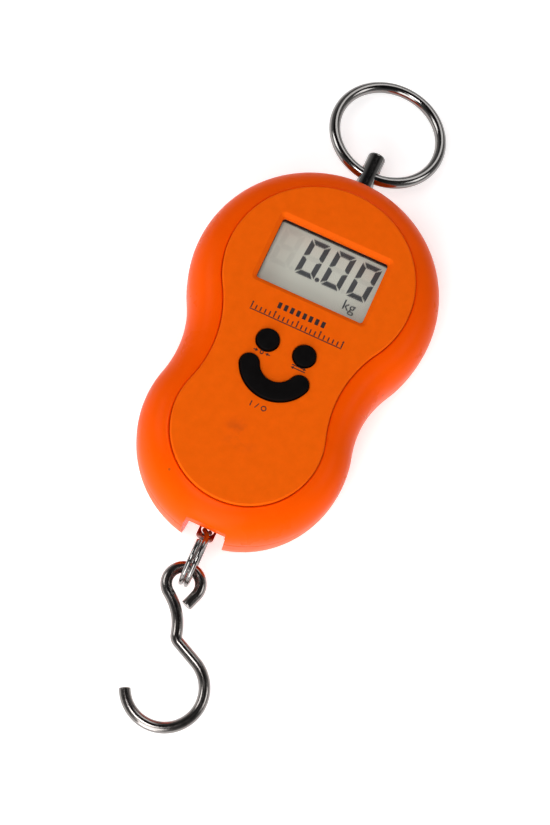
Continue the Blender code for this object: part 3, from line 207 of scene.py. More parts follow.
def rounded_box(width, height, radius, centre=(0.0, 0.0), count=8):
    points = []
    for sx, sy, start in ((1, 1, 0), (-1, 1, 90), (-1, -1, 180), (1, -1, 270)):
        corner = (centre[0] + sx * (width / 2 - radius), centre[1] + sy * (height / 2 - radius))
        points += arc(corner, radius, start, start + 90 + 90 / count, count + 1)
    return points


def gourd(g, inset=0.0, steps=(56, 23, 58)):
    """Two-lobed outline, counter-clockwise from the lower end, moved in by inset.
    steps holds the points on half of the lower lobe, a waist and half of the
    upper lobe, so that every ring of a piece has as many points."""
    spacing = g.upper_y - g.lower_y
    low_reach = g.lower_radius + g.waist_radius
    high_reach = g.upper_radius + g.waist_radius
    along = (low_reach ** 2 - high_reach ** 2 + spacing ** 2) / (2 * spacing)
    waist_x = math.sqrt(low_reach ** 2 - along ** 2)
    waist_y = g.lower_y + along
    low = math.degrees(math.atan2(along, waist_x))
    high = math.degrees(math.atan2(waist_y - g.upper_y, waist_x))
    half = arc((0, g.lower_y), g.lower_radius - inset, -90, low, steps[0])
    half += arc((waist_x, waist_y), g.waist_radius + inset, 180 + low, 180 + high,
                steps[1])
    half += arc((0, g.upper_y), g.upper_radius - inset, high, 90, steps[2])
    mirrored = [(-x, y) for x, y in reversed(half[1:])]
    return half + [(0.0, g.upper_y + g.upper_radius - inset)] + mirrored


def at_height(outline, height):
    return [(x, y, height) for x, y in outline]


def rolled_edge(steps, width, height, power):
    """Pairs of inset and rise along a rounded edge, from its foot to its top."""
    pairs = []
    for i in range(steps + 1):
        turn = math.pi / 2 * i / steps
        pairs.append((width * (1 - max(math.cos(turn), 0.0) ** (2 / power)),
                      height * math.sin(turn) ** (2 / power)))
    return pairs


def add_loft(mesh, rings):
    """Skin a stack of equal rings and close both ends."""
    rows = [[mesh.verts.new(point) for point in ring] for ring in rings]
    count = len(rows[0])
    for low, high in zip(rows, rows[1:]):
        for i in range(count):
            j = (i + 1) % count
            mesh.faces.new((low[i], low[j], high[j], high[i]))
    mesh.faces.new(list(reversed(rows[0])))
    mesh.faces.new(rows[-1])
    return mesh


def add_prism(mesh, outline, low, high, axis="Z"):
    def place(u, v, w):
        return {"Z": (u, v, w), "Y": (u, w, v), "X": (w, u, v)}[axis]
    return add_loft(mesh, [[place(u, v, low) for u, v in outline],
                           [place(u, v, high) for u, v in outline]])


def add_box(mesh, x0, x1, y0, y1, z0, z1):
    return add_prism(mesh, [(x0, y0), (x1, y0), (x1, y1), (x0, y1)], z0, z1)


def add_lathe(mesh, profile, centre, axis="Z", count=64):
    """Solid of revolution.  profile holds (radius, distance) pairs along the axis."""
    rings = []
    for radius, distance in profile:
        ring = []
        for u, v in circle(radius, count):
            offset = {"Z": (u, v, distance), "Y": (u, distance, v), "X": (distance, u, v)}[axis]
            ring.append(tuple(c + o for c, o in zip(centre, offset)))
        rings.append(ring)
    return add_loft(mesh, rings)


def smile_band(k, half_width, end_steps=16, steps=48):
    """Outline of the curved key: an arc of constant width with round ends."""
    centre = (0.0, k.smile_y)
    first, last = 270 - k.smile_angle, 270 + k.smile_angle
    tips = [(k.smile_radius * math.cos(math.radians(a)),
             k.smile_y + k.smile_radius * math.sin(math.radians(a))) for a in (first, last)]
    return (arc(centre, k.smile_radius + half_width, first, last, steps)
            + arc(tips[1], half_width, last, last + 180, end_steps)
            + arc(centre, k.smile_radius - half_width, last, first, steps)
            + arc(tips[0], half_width, first - 180, first, end_steps))


def bend_wire(start, heading, steps, spacing=0.3):
    """Plane path of a bent wire.  steps holds ("run", length) and
    ("bend", radius, degrees) with left turns positive."""
    x, y = start
    turn = math.radians(heading)
    points = [(x, y)]
    for step in steps:
        if step[0] == "run":
            count = max(1, round(step[1] / (3 * spacing)))
            parts = [(step[1] / count, 0.0)] * count
        else:
            total = math.radians(step[2])
            count = max(3, round(abs(total) * step[1] / spacing))
            part = total / count
            parts = [(2 * step[1] * math.sin(abs(part) / 2), part)] * count
        for length, part in parts:
            x += length * math.cos(turn + part / 2)
            y += length * math.sin(turn + part / 2)
            turn += part
            points.append((x, y))
    return points


# ------------------------------------------------------------------- objects
def new_object(name, mesh, shift=True):
    """An object from a bmesh in millimetres round the middle of the case."""
    if shift:
        place = Matrix.Scale(MM, 4) @ Matrix.Translation(MIDDLE)
        bmesh.ops.transform(mesh, matrix=place, verts=mesh.verts)
    bmesh.ops.recalc_face_normals(mesh, faces=mesh.faces)
    data = bpy.data.meshes.new(name)
    mesh.to_mesh(data)
    mesh.free()
    piece = bpy.data.objects.new(name, data)
    bpy.context.scene.collection.objects.link(piece)
    return piece


def combine(target, operation, name, mesh, shift=True):
    """Add a boolean step with a body of its own made from a bmesh."""
    step = target.modifiers.new(name, "BOOLEAN")
    step.operation = operation
    step.solver = "EXACT"
    step.object = new_object(name, mesh, shift)
    return step.object


def soften(piece, width, segments=3, limit=35.0):
    """Round the piece's sharp edges by a width in millimetres."""
    step = piece.modifiers.new("Edge rounding", "BEVEL")
    step.width = width * MM
    step.segments = segments
    step.limit_method = "ANGLE"
    step.angle_limit = math.radians(limit)
    step.use_clamp_overlap = True


def discard(piece):
    """Remove a helper object together with the bodies its own steps use."""
    for body in [step.object for step in piece.modifiers if step.type == "BOOLEAN"]:
        discard(body)
    bpy.data.objects.remove(piece, do_unlink=True)


def bake(piece):
    """Turn the piece's modifiers into a plain mesh."""
    bpy.context.view_layer.update()
    graph = bpy.context.evaluated_depsgraph_get()
    data = bpy.data.meshes.new_from_object(piece.evaluated_get(graph), depsgraph=graph)
    bodies = [step.object for step in piece.modifiers if step.type == "BOOLEAN"]
    piece.modifiers.clear()
    piece.data = data
    for body in bodies:
        discard(body)
    return data


def settle(piece, sharp=35.0):
    """Bake the piece into a closed mesh that faces out, shaded smooth up to
    the sharp angle with its large flat faces kept flat."""
    data = bake(piece)
    work = bmesh.new()
    work.from_mesh(data)
    if work.calc_volume(signed=True) < 0:
        bmesh.ops.reverse_faces(work, faces=work.faces)
    work.to_mesh(data)
    work.free()
    data.shade_smooth()
    data.set_sharp_from_angle(angle=math.radians(sharp))
    step = piece.modifiers.new("Flat faces", "WEIGHTED_NORMAL")
    step.keep_sharp = True
    step.weight = 100
    bake(piece)
    return piece


def dress(piece, slot, body="case", nodes=(), look=None):
    """Give a finished piece the finish named by look, or else by slot, put it under its body
    and hide the nodes it stands for."""
    piece.data.materials.clear()
    piece.data.materials.append(finish(look or slot))
    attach(piece, body)
    if nodes:
        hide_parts(*nodes)


def refine(width, slot, *nodes, body="case", limit=35.0):
    """Merged copies of CAD nodes, with their sharp edges rounded."""
    for node in nodes:
        work = bmesh.new()
        work.from_mesh(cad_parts[node].data)
        bmesh.ops.remove_doubles(work, verts=work.verts, dist=MERGE_REACH)
        bmesh.ops.dissolve_limit(work, angle_limit=math.radians(0.6), verts=work.verts,
                                 edges=work.edges)
        piece = new_object(node + "_finished", work, shift=False)
        if width:
            soften(piece, width, limit=limit)
        dress(settle(piece), slot, body, (node,))


def put(tree, kind, inputs=None, **settings):
    """Add a node with its own settings and its input values.  An input is
    linked where its value is a socket, or a node, which gives its first output."""
    node = tree.nodes.new(kind)
    for key, value in settings.items():
        setattr(node, key, value)
    for key, value in (inputs or {}).items():
        if isinstance(value, bpy.types.Node):
            value = value.outputs[0]
        if isinstance(value, bpy.types.NodeSocket):
            tree.links.new(value, node.inputs[key])
        else:
            node.inputs[key].default_value = value
    return node


def swept_wire(tree, source):
    """Round wire swept along a path of edges."""
    path = put(tree, "GeometryNodeMeshToCurve", {"Mesh": source["Geometry"]})
    section = put(tree, "GeometryNodeCurvePrimitiveCircle",
                  {"Resolution": source["Sides"], "Radius": source["Wire radius"]},
                  mode="RADIUS")
    return put(tree, "GeometryNodeCurveToMesh",
               {"Curve": path, "Profile Curve": section, "Fill Caps": True})


def placed_copies(tree, source):
    """Copies of one master object on a set of points."""
    master = put(tree, "GeometryNodeObjectInfo", {"Object": source["Master"]},
                 transform_space="ORIGINAL")
    return put(tree, "GeometryNodeInstanceOnPoints",
               {"Points": source["Geometry"], "Instance": master.outputs["Geometry"]})


TREES = {"Round wire": (swept_wire, {"Wire radius": "NodeSocketFloat", "Sides": "NodeSocketInt"}),
         "Copies on points": (placed_copies, {"Master": "NodeSocketObject"})}


def geometry_tree(name):
    """The geometry tree of that name, made the first time it is asked for."""
    if name in bpy.data.node_groups:
        return bpy.data.node_groups[name]
    build, inputs = TREES[name]
    tree = bpy.data.node_groups.new(name, "GeometryNodeTree")
    for label, kind in (("Geometry", "NodeSocketGeometry"), *inputs.items(),
                        ("Material", "NodeSocketMaterial")):
        tree.interface.new_socket(label, in_out="INPUT", socket_type=kind)
    tree.interface.new_socket("Geometry", in_out="OUTPUT", socket_type="NodeSocketGeometry")
    source = put(tree, "NodeGroupInput").outputs
    real = put(tree, "GeometryNodeRealizeInstances", {"Geometry": build(tree, source)})
    named = put(tree, "GeometryNodeSetMaterial",
                {"Geometry": real, "Material": source["Material"]})
    put(tree, "NodeGroupOutput", {"Geometry": named})
    return tree


def run_tree(piece, name, values):
    step = piece.modifiers.new(name, "NODES")
    step.node_group = geometry_tree(name)
    for item in step.node_group.interface.items_tree:
        if item.in_out == "INPUT" and item.name in values:
            step[item.identifier] = values[item.name]
    return settle(piece)


def wire(name, path, radius, look, sides, closed=False, cut=0.0):
    """A round wire along a path of points, with its cut ends rounded."""
    work = bmesh.new()
    points = [work.verts.new(point) for point in path]
    for first, second in zip(points, points[1:]):
        work.edges.new((first, second))
    if closed:
        work.edges.new((points[-1], points[0]))
    piece = run_tree(new_object(name, work), "Round wire",
                     {"Wire radius": radius * MM, "Sides": sides, "Material": finish(look)})
    if cut:
        work = bmesh.new()
        work.from_mesh(piece.data)
        bmesh.ops.remove_doubles(work, verts=work.verts, dist=MERGE_REACH)
        work.to_mesh(piece.data)
        work.free()
        soften(piece, cut, 4, 60.0)
        settle(piece, 60.0)
    return piece


def copies(name, master, points, look):
    """One mesh of the master's copies; the master and the points are in
    millimetres, and the master is used up."""
    master.data.transform(Matrix.Scale(MM, 4))
    work = bmesh.new()
    for point in points:
        work.verts.new(point)
    piece = run_tree(new_object(name, work), "Copies on points",
                     {"Master": master, "Material": finish(look)})
    discard(master)
    return piece


# ----------------------------------------------------------------- materials
def new_finish(name, colour, roughness, metallic=0.0, patch=8.0, spread=0.06, shift=0.08,
               grain=0.4, height=0.01, ior=None, sheen=0.5):
    """Common ground of every finish: broad patches of patch mm that vary the
    roughness by spread and the tone by shift, and a grain of grain mm that
    stands height mm high.  sheen is the specular level."""
    mat = bpy.data.materials.new(name)
    mat.use_nodes = True
    tree = mat.node_tree
    shader = tree.nodes["Principled BSDF"]
    shader.inputs["Metallic"].default_value = metallic
    shader.inputs["Specular IOR Level"].default_value = sheen
    if ior is not None:
        shader.inputs["IOR"].default_value = ior
    place = put(tree, "ShaderNodeTexCoord").outputs["Object"]
    broad = put(tree, "ShaderNodeTexNoise",
                {"Vector": place, "Scale": 1000 / patch, "Detail": 4.0, "Roughness": 0.6})
    rough = put(tree, "ShaderNodeMapRange",
                {"Value": broad, "From Min": 0.3, "From Max": 0.7,
                 "To Min": max(roughness - spread, 0.02), "To Max": roughness + spread})
    dark = tuple(c * (1 - shift) for c in colour) + (1.0,)
    light = tuple(min(c * (1 + shift) + 0.01 * shift, 1.0) for c in colour) + (1.0,)
    tone = put(tree, "ShaderNodeMix", {"Factor": broad.outputs["Fac"], "A": dark, "B": light},
               data_type="RGBA").outputs["Result"]
    fine = put(tree, "ShaderNodeTexNoise",
               {"Vector": place, "Scale": 1000 / grain, "Detail": 3.0})
    bump = put(tree, "ShaderNodeBump",
               {"Height": fine, "Distance": height * MM, "Strength": 1.0})
    for output, label in ((rough.outputs["Result"], "Roughness"), (tone, "Base Color"),
                          (bump.outputs["Normal"], "Normal")):
        tree.links.new(output, shader.inputs[label])
    return SimpleNamespace(mat=mat, tree=tree, shader=shader, place=place, tone=tone, bump=bump)


def paint_over(f, factor, colour):
    """Lay a linear colour over the finish's own tone where factor is high."""
    mixed = put(f.tree, "ShaderNodeMix", {"Factor": factor, "A": f.tone, "B": (*colour, 1.0)},
                data_type="RGBA")
    f.tree.links.new(mixed.outputs["Result"], f.shader.inputs["Base Color"])
    return f.mat


def glow_within(f, weight, depth):
    """Let light run a depth in millimetres into an orange plastic."""
    f.shader.inputs["Subsurface Weight"].default_value = weight
    f.shader.inputs["Subsurface Radius"].default_value = (1.0, 0.35, 0.05)
    f.shader.inputs["Subsurface Scale"].default_value = depth * MM


def gloss_orange(c):
    # Moulded ABS off a polished tool: even, saturated, with a soft wide gloss
    # and the faint waviness of a thin moulding, and a few dark specks.
    f = new_finish("Polished orange ABS", c.shell, 0.30, patch=14, spread=0.05, shift=0.05,
                   grain=1.6, height=0.004, ior=1.53, sheen=0.03)
    glow_within(f, 0.12, 1.2)
    specks = put(f.tree, "ShaderNodeTexVoronoi", {"Vector": f.place, "Scale": 1000 / 9.0})
    dust = put(f.tree, "ShaderNodeMapRange",
               {"Value": specks, "From Min": 0.035, "From Max": 0.06, "To Min": 1.0,
                "To Max": 0.0})
    return paint_over(f, dust, (0.55, 0.075, 0.01))


def satin_orange(c):
    # The same ABS off a spark-eroded tool: a fine even grain that scatters the
    # light.  The real grain is 0.1 mm; it is drawn at 0.5 mm so that it shows.
    # A worn, faintly darker smudge lies below the curved key.
    f = new_finish("Spark-textured orange ABS", c.plate, 0.56, patch=3, spread=0.08, shift=0.1,
                   grain=0.5, height=0.012, ior=1.53, sheen=0.03)
    glow_within(f, 0.1, 1.0)
    centred = put(f.tree, "ShaderNodeMapping",
                  {"Vector": f.place, "Location": (-0.0012, -0.0025, 0.03),
                   "Scale": (0.0065, 0.0055, 0.02)}, vector_type="TEXTURE")
    ball = put(f.tree, "ShaderNodeVectorMath", {0: centred}, operation="LENGTH")
    near = put(f.tree, "ShaderNodeMapRange",
               {"Value": ball.outputs["Value"], "From Min": 0.1, "From Max": 1.0, "To Min": 1.0,
                "To Max": 0.0})
    blotch = put(f.tree, "ShaderNodeTexNoise",
                 {"Vector": f.place, "Scale": 1000 / 4.0, "Detail": 3.0})
    worn = put(f.tree, "ShaderNodeMapRange",
               {"Value": blotch, "From Min": 0.46, "From Max": 0.68, "To Min": 0.0,
                "To Max": 0.45})
    mask = put(f.tree, "ShaderNodeMath", {0: near, 1: worn}, operation="MULTIPLY")
    return paint_over(f, mask, (0.42, 0.05, 0.012))


def clear_window(c):
    # Polished acrylic: what is behind shows almost unchanged under a faint gloss.
    f = new_finish("Clear acrylic", linear("#f2f5f2"), 0.05, patch=12, spread=0.02, shift=0.01,
                   grain=6.0, height=0.0006, ior=1.49)
    f.shader.inputs["Transmission Weight"].default_value = 1.0
    f.shader.inputs["Alpha"].default_value = 0.14
    return f.mat


def segment_rest(c):
    # Undriven segments: a tone just darker than the glass, as an idle display shows.
    shade = tuple(v * 0.91 for v in c.display)
    return new_finish("Idle segment", shade, 0.36, patch=3, shift=0.02, grain=0.6,
                      height=0.0005).mat


def plating(name, colour, roughness, patch, streak, height):
    """Plated wire and turned steel: fine scratches run round the piece."""
    def build(c):
        f = new_finish(name, tone_of(c, colour), roughness, 1.0, patch=patch, spread=0.05,
                       shift=0.06, grain=0.5, height=height)
        stretched = put(f.tree, "ShaderNodeMapping",
                        {"Vector": f.place, "Scale": (streak, 1.0, 1.0)})
        scratch = put(f.tree, "ShaderNodeTexNoise",
                      {"Vector": stretched, "Scale": 1000 / 2.2, "Detail": 5.0})
        f.tree.links.new(scratch.outputs["Fac"], f.bump.inputs["Height"])
        return f.mat
    return build


def zinc_plate(c):
    # Zinc with a clear passivate: pale grey with a straw tint in patches.
    f = new_finish("Passivated zinc", c.zinc, 0.34, 1.0, patch=2.2, spread=0.1, shift=0.1,
                   grain=0.3, height=0.004)
    straw = put(f.tree, "ShaderNodeTexNoise",
                {"Vector": f.place, "Scale": 1000 / 1.6, "Detail": 2.0})
    return paint_over(f, straw, linear("#b9b08c"))


def milled_aluminium(c):
    # Face-milled bar: overlapping cutter arcs 0.6 mm apart under a dull sheen.
    f = new_finish("Milled aluminium", c.aluminium, 0.36, 1.0, patch=6, shift=0.05, grain=0.3,
                   height=0.003)
    turned = put(f.tree, "ShaderNodeMapping", {"Vector": f.place, "Location": (0.03, 0.0, 0.0)})
    marks = put(f.tree, "ShaderNodeTexWave",
                {"Vector": turned, "Scale": 1000 / (0.6 * 20), "Distortion": 0.6, "Detail": 2.0},
                wave_type="RINGS", rings_direction="Z")
    f.tree.links.new(marks.outputs["Fac"], f.bump.inputs["Height"])
    return f.mat


def solder_mask(c):
    # Solder mask over copper: tracks 0.5 mm wide show as a lighter green.
    f = new_finish("Green solder mask", c.board, 0.4, patch=5, shift=0.08, grain=0.4,
                   height=0.002)
    tracks = put(f.tree, "ShaderNodeTexBrick",
                 {"Vector": f.place, "Scale": 1000 / 4.5, "Mortar Size": 0.06,
                  "Color1": (*c.board, 1.0), "Color2": (*c.board, 1.0),
                  "Mortar": (*[v * 1.9 for v in c.board], 1.0), "Brick Width": 0.9,
                  "Row Height": 0.32}, offset=0.35, squash=1.6)
    mixed = put(f.tree, "ShaderNodeMix", {"Factor": 0.25, "A": tracks, "B": f.tone},
                data_type="RGBA", blend_type="MULTIPLY")
    f.tree.links.new(mixed.outputs["Result"], f.shader.inputs["Base Color"])
    return f.mat


def gauge_foil(c):
    # Polyimide film over an etched grid: amber with fine darker lines 0.35 mm apart.
    f = new_finish("Polyimide gauge foil", linear("#b9772b"), 0.35, patch=2, grain=0.3)
    grid = put(f.tree, "ShaderNodeTexWave", {"Vector": f.place, "Scale": 1000 / (0.35 * 20)},
               wave_type="BANDS", bands_direction="Y")
    return paint_over(f, grid.outputs["Fac"], linear("#6d3f16"))


def battery_jacket(c):
    # Shrink jacket printed with a broad band and two thin lines, on tinned ends.
    f = new_finish("Printed battery jacket", c.jacket, 0.3, patch=6, shift=0.06, grain=0.8,
                   height=0.002)
    split = put(f.tree, "ShaderNodeSeparateXYZ", {"Vector": f.place})
    along = put(f.tree, "ShaderNodeMapRange",
                {"Value": split.outputs["Y"], "From Min": 0.0095, "From Max": 0.0585})
    bands = put(f.tree, "ShaderNodeValToRGB", {"Fac": along})
    ramp = bands.color_ramp
    ramp.interpolation = "CONSTANT"
    steps = ((0.0, "#b9bbbb"), (0.05, "#39434f"), (0.16, "#c8923a"), (0.19, "#39434f"),
             (0.42, "#2c3642"), (0.80, "#c8923a"), (0.83, "#39434f"), (0.95, "#b9bbbb"))
    while len(ramp.elements) < len(steps):
        ramp.elements.new(0.5)
    for element, (at, code) in zip(ramp.elements, steps):
        element.position = at
        element.color = (*linear(code), 1.0)
    f.tree.links.new(bands.outputs["Color"], f.shader.inputs["Base Color"])
    return f.mat


def tone_of(c, colour):
    """Linear colour of a #rrggbb code or of one of the colour settings."""
    return linear(colour) if colour.startswith("#") else getattr(c, colour)


def plain(name, colour, roughness, metallic=0.0, **options):
    """Maker of a finish that has no pattern of its own."""
    return lambda c: new_finish(name, tone_of(c, colour), roughness, metallic, **options).mat


def insulation(name, code):
    # PVC insulation: slightly waxy, with the drag marks of its die.
    return plain(name, code, 0.42, patch=1.5, shift=0.1, grain=0.4, height=0.003)


FINISHES = {
    "orange_abs": gloss_orange,
    "orange_satin_abs": satin_orange,
    "clear_acrylic": clear_window,
    "idle_segment": segment_rest,
    "zinc_screw": zinc_plate,
    "milled_aluminium": milled_aluminium,
    "board_green": solder_mask,
    "gauge_foil": gauge_foil,
    "battery_jacket": battery_jacket,
    # Compression-moulded silicone: dead matt, with a trace of dust in its skin.
    "black_silicone": plain("Black silicone rubber", "rubber", 0.62, patch=2.5, spread=0.07,
                            shift=0.3, grain=0.35, height=0.008, ior=1.43, sheen=0.05),
    # Glass-filled nylon: dark grey, slightly mottled where the fibres surface.
    "black_plastic": plain("Black filled nylon", "#1c1c1c", 0.45, patch=1.5, shift=0.2,
                           grain=0.25, height=0.006),
    # Reflective liquid crystal cell: grey-green with the sheen of its polariser.
    "lcd_glass": plain("Liquid crystal glass", "display", 0.34, patch=10, spread=0.03,
                       shift=0.02, grain=0.5, height=0.001),
    # Driven segments: flat and nearly black behind the front glass.
    "segment": plain("Driven segment", "segment", 0.5, patch=3, shift=0.1, grain=0.6,
                     height=0.0005),
    # Pad-printed ink: thin, matt and a little uneven over the grain beneath.
    "print": plain("Pad-printed ink", "print_ink", 0.5, patch=0.8, spread=0.08, shift=0.35,
                   grain=0.3, height=0.004),
    # Nickel-plated spring steel and phosphor bronze: bright, a little warm.
    "contact_plate": plain("Nickel-plated spring steel", "#c4c0b4", 0.24, 1.0, patch=2,
                           spread=0.08, shift=0.08, grain=0.3, height=0.003),
    # Bright nickel over steel: mirror-like, with the hair lines of handling.
    "bright_steel": plating("Bright nickel plate", "chrome", 0.15, 5.0, 0.25, 0.0006),
    # Barrel-plated nickel: darker and softer, the wire's drawing marks show.
    "nickel_wire": plating("Barrel-plated nickel", "wire", 0.2, 3.0, 0.2, 0.0014),
    # Bright steel tinted red-brown for the swivel's stem: the tint is painted reflection of the
    # orange hook recess and painted shade under the case's rim.
    "browned_steel": plating("Browned steel", "#7c2c18", 0.26, 2.5, 0.3, 0.001),
    "red_insulation": insulation("Red PVC insulation", "#b3201b"),
    "black_insulation": insulation("Black PVC insulation", "#161616"),
    "white_insulation": insulation("White PVC insulation", "#e2e0da"),
}
made = {}


def finish(name):
    """The finish of that name, made the first time it is asked for."""
    if name not in made:
        made[name] = FINISHES[name](bpy.context.scene.fish_scale.colours)
    return made[name]


# -------------------------------------------------------------------- pieces
CASE_SCREWS = ((19.8, 36.2), (-19.8, 36.2), (15.3, -36.8), (-15.3, -36.8))
BOARD_SCREWS = ((13.4, 7.2), (-13.4, 7.2), (13.4, -19.4), (-13.4, -19.4))
POCKET_X, POCKET_HALF, POCKET_Y, POCKET_ROOF, POCKET_WALL = 0.4, 5.6, -48.0, 21.0, 1.5
WELL_HALF, WELL_TOP, WELL_LOW, WELL_CEILING, WELL_WALL = 11.7, 33.5, -17.5, 12.95, 2.4
LAP = 1.5                            # how far the shells' edges overlap
PILOT, SHANK_HOLE, HEAD_HOLE = 1.1, 1.6, 2.7       # radii of the screw holes
CASE_POST, REAR_POST, BOARD_POST = 3.0, 3.6, 2.2   # radii of the screw posts
HANGER_BORE, SWIVEL_BORE = 2.9, 2.7                # radii of the stems' holes
HEAD_SEAT, CASE_SCREW_END = 8.5, 21.5              # heights of the case screws' holes
BOARD_TOP = 21.5
FRONT_POWER, BACK_POWER = 2.3, 2.4   # how square the rolled edges are
STEM_X = 1.1


def stack(outline, levels):
    """Rings of an outline, one for each pair of its margin and its height."""
    return [at_height(outline(margin), height) for margin, height in levels]


def case_outline(c, steps=(56, 23, 58)):
    return lambda inset: gourd(c, inset, steps)


def quarter(steps):
    return [math.pi / 2 * i / steps for i in range(steps + 1)]


def add_posts(mesh, spots, radius, sides, low, high):
    for spot in spots:
        add_prism(mesh, circle(radius, sides, spot), low, high)


def pocket_outline(inner_y, outer_y):
    flare = POCKET_HALF + 0.5
    return [(POCKET_X - POCKET_HALF, inner_y), (POCKET_X - flare, outer_y),
            (POCKET_X + flare, outer_y), (POCKET_X + POCKET_HALF, inner_y)]


def pocket_box(mesh, c, low, high):
    reach = POCKET_HALF + POCKET_WALL
    add_box(mesh, POCKET_X - reach, POCKET_X + reach, c.lower_y - c.lower_radius - 2,
            POCKET_Y + POCKET_WALL, low, high)


def stem_bores(mesh, c, count=48):
    add_lathe(mesh, [(HANGER_BORE, 0), (HANGER_BORE, 8)],
              (0, c.upper_y + c.upper_radius - 6, c.parting), "Y", count)
    add_lathe(mesh, [(SWIVEL_BORE, 0), (SWIVEL_BORE, 3)], (STEM_X, POCKET_Y - 0.7, c.parting),
              "Y", count)


def trimming_hull(c, margin=0.5):
    """The whole case drawn slightly small, to trim ribs and bosses to it."""
    levels = []
    for inset, rise in reversed(rolled_edge(8, c.back_round, c.parting - 0.15, BACK_POWER)):
        levels.append((inset + margin, c.parting - rise + margin * (rise > 8)))
    for inset, rise in rolled_edge(10, c.rim_width, c.rim_height, FRONT_POWER)[1:]:
        levels.append((inset + margin, c.parting + rise - margin * (rise > 8)))
    return add_loft(bmesh.new(), stack(case_outline(c, (20, 8, 22)), levels))


def add_ribs(shell, c, name, ribs):
    """Join ribs to a shell, trimmed so that none shows outside."""
    body = combine(shell, "UNION", name, ribs)
    combine(body, "INTERSECT", "case_hull", trimming_hull(c))


def key_outlines(k, sides=72):
    """Each key's name, its outline for a margin, and the place of its stub."""
    def eye(name, spot):
        return name, lambda grow: circle(k.eye_radius + grow, sides, spot), spot
    return (eye("tare", (-k.eye_x, k.eye_y)), eye("unit", (k.eye_x, k.eye_y)),
            ("power", lambda grow: smile_band(k, k.smile_width + grow),
             (0.0, k.smile_y - k.smile_radius)))


class FISHSCALE_OT_front_shell(Operator):
    """Front shell with its rolled rim, window, key holes and hook recess"""
    bl_idname = "fishscale.front_shell"
    bl_label = "Front shell"

    def execute(self, context):
        s = context.scene.fish_scale
        c, p, k = in_mm(s.case), in_mm(s.plate), in_mm(s.keys)
        floor_top = c.thickness - p.thickness - CLEARANCE
        floor_back = floor_top - c.wall
        seam = c.parting + CLEARANCE / 2
        lap = c.parting + LAP
        lower_end = c.lower_y - c.lower_radius
        inner = rolled_edge(12, c.rim_width - 1.5, floor_back - c.parting, FRONT_POWER)[3:]
        levels = [(c.wall + inset, c.parting + rise) for inset, rise in reversed(inner)]
        levels += [(c.wall, lap), (c.wall / 2, lap), (c.wall / 2, seam), (0.18, seam),
                   (0.05, seam + 0.05), (0.0, seam + 0.2)]
        outer = rolled_edge(28, c.rim_width, c.rim_height, FRONT_POWER)[2:-4]
        levels += [(inset, c.parting + rise) for inset, rise in outer]
        top = c.parting + c.rim_height
        lip = ((0.60, top - 0.07), (0.38, top - 0.13), (0.21, top - 0.3), (SEAM, top - 0.55),
               (SEAM, floor_top))
        rings = stack(case_outline(c), levels) + stack(lambda grow: gourd(p, -grow), lip)
        shell = new_object("front_shell_finished", add_loft(bmesh.new(), rings))
        ribs = bmesh.new()
        add_posts(ribs, CASE_SCREWS, CASE_POST, 32, c.parting + CLEARANCE, floor_back + 1)
        add_posts(ribs, BOARD_SCREWS, BOARD_POST, 28, BOARD_TOP + CLEARANCE, floor_back + 1)
        pocket_box(ribs, c, seam, POCKET_ROOF + POCKET_WALL)
        add_ribs(shell, c, "front_ribs", ribs)
        cuts = bmesh.new()
        window = (0, p.window_y)
        through = (floor_back - 1, floor_top + 0.5)
        add_prism(cuts, rounded_box(p.window_width + 2.0, p.window_height + 2.0, 0.8, window),
                  *through)
        for _, outline, _ in key_outlines(k, 64):
            add_prism(cuts, outline(CLEARANCE), *through)
        stem_bores(cuts, c)
        add_prism(cuts, pocket_outline(-53.1, lower_end - 3), POCKET_ROOF - 1, c.thickness)
        combine(shell, "DIFFERENCE", "front_cuts", cuts)
        recess = bmesh.new()
        add_prism(recess, rounded_box(p.window_width + 3.8, p.window_height + 3.8, 1.2, window),
                  floor_top - 1.35, floor_top + 0.6)
        add_posts(recess, CASE_SCREWS, SHANK_HOLE, 24, c.parting - 1, CASE_SCREW_END)
        add_posts(recess, BOARD_SCREWS, PILOT, 24, BOARD_TOP - 1, floor_back - 0.4)
        add_prism(recess, pocket_outline(POCKET_Y, lower_end - 4), c.parting - 2, POCKET_ROOF)
        combine(shell, "DIFFERENCE", "front_recess", recess)
        dress(settle(shell, 32.0), "orange_abs", nodes=("front_shell",))
        return {"FINISHED"}


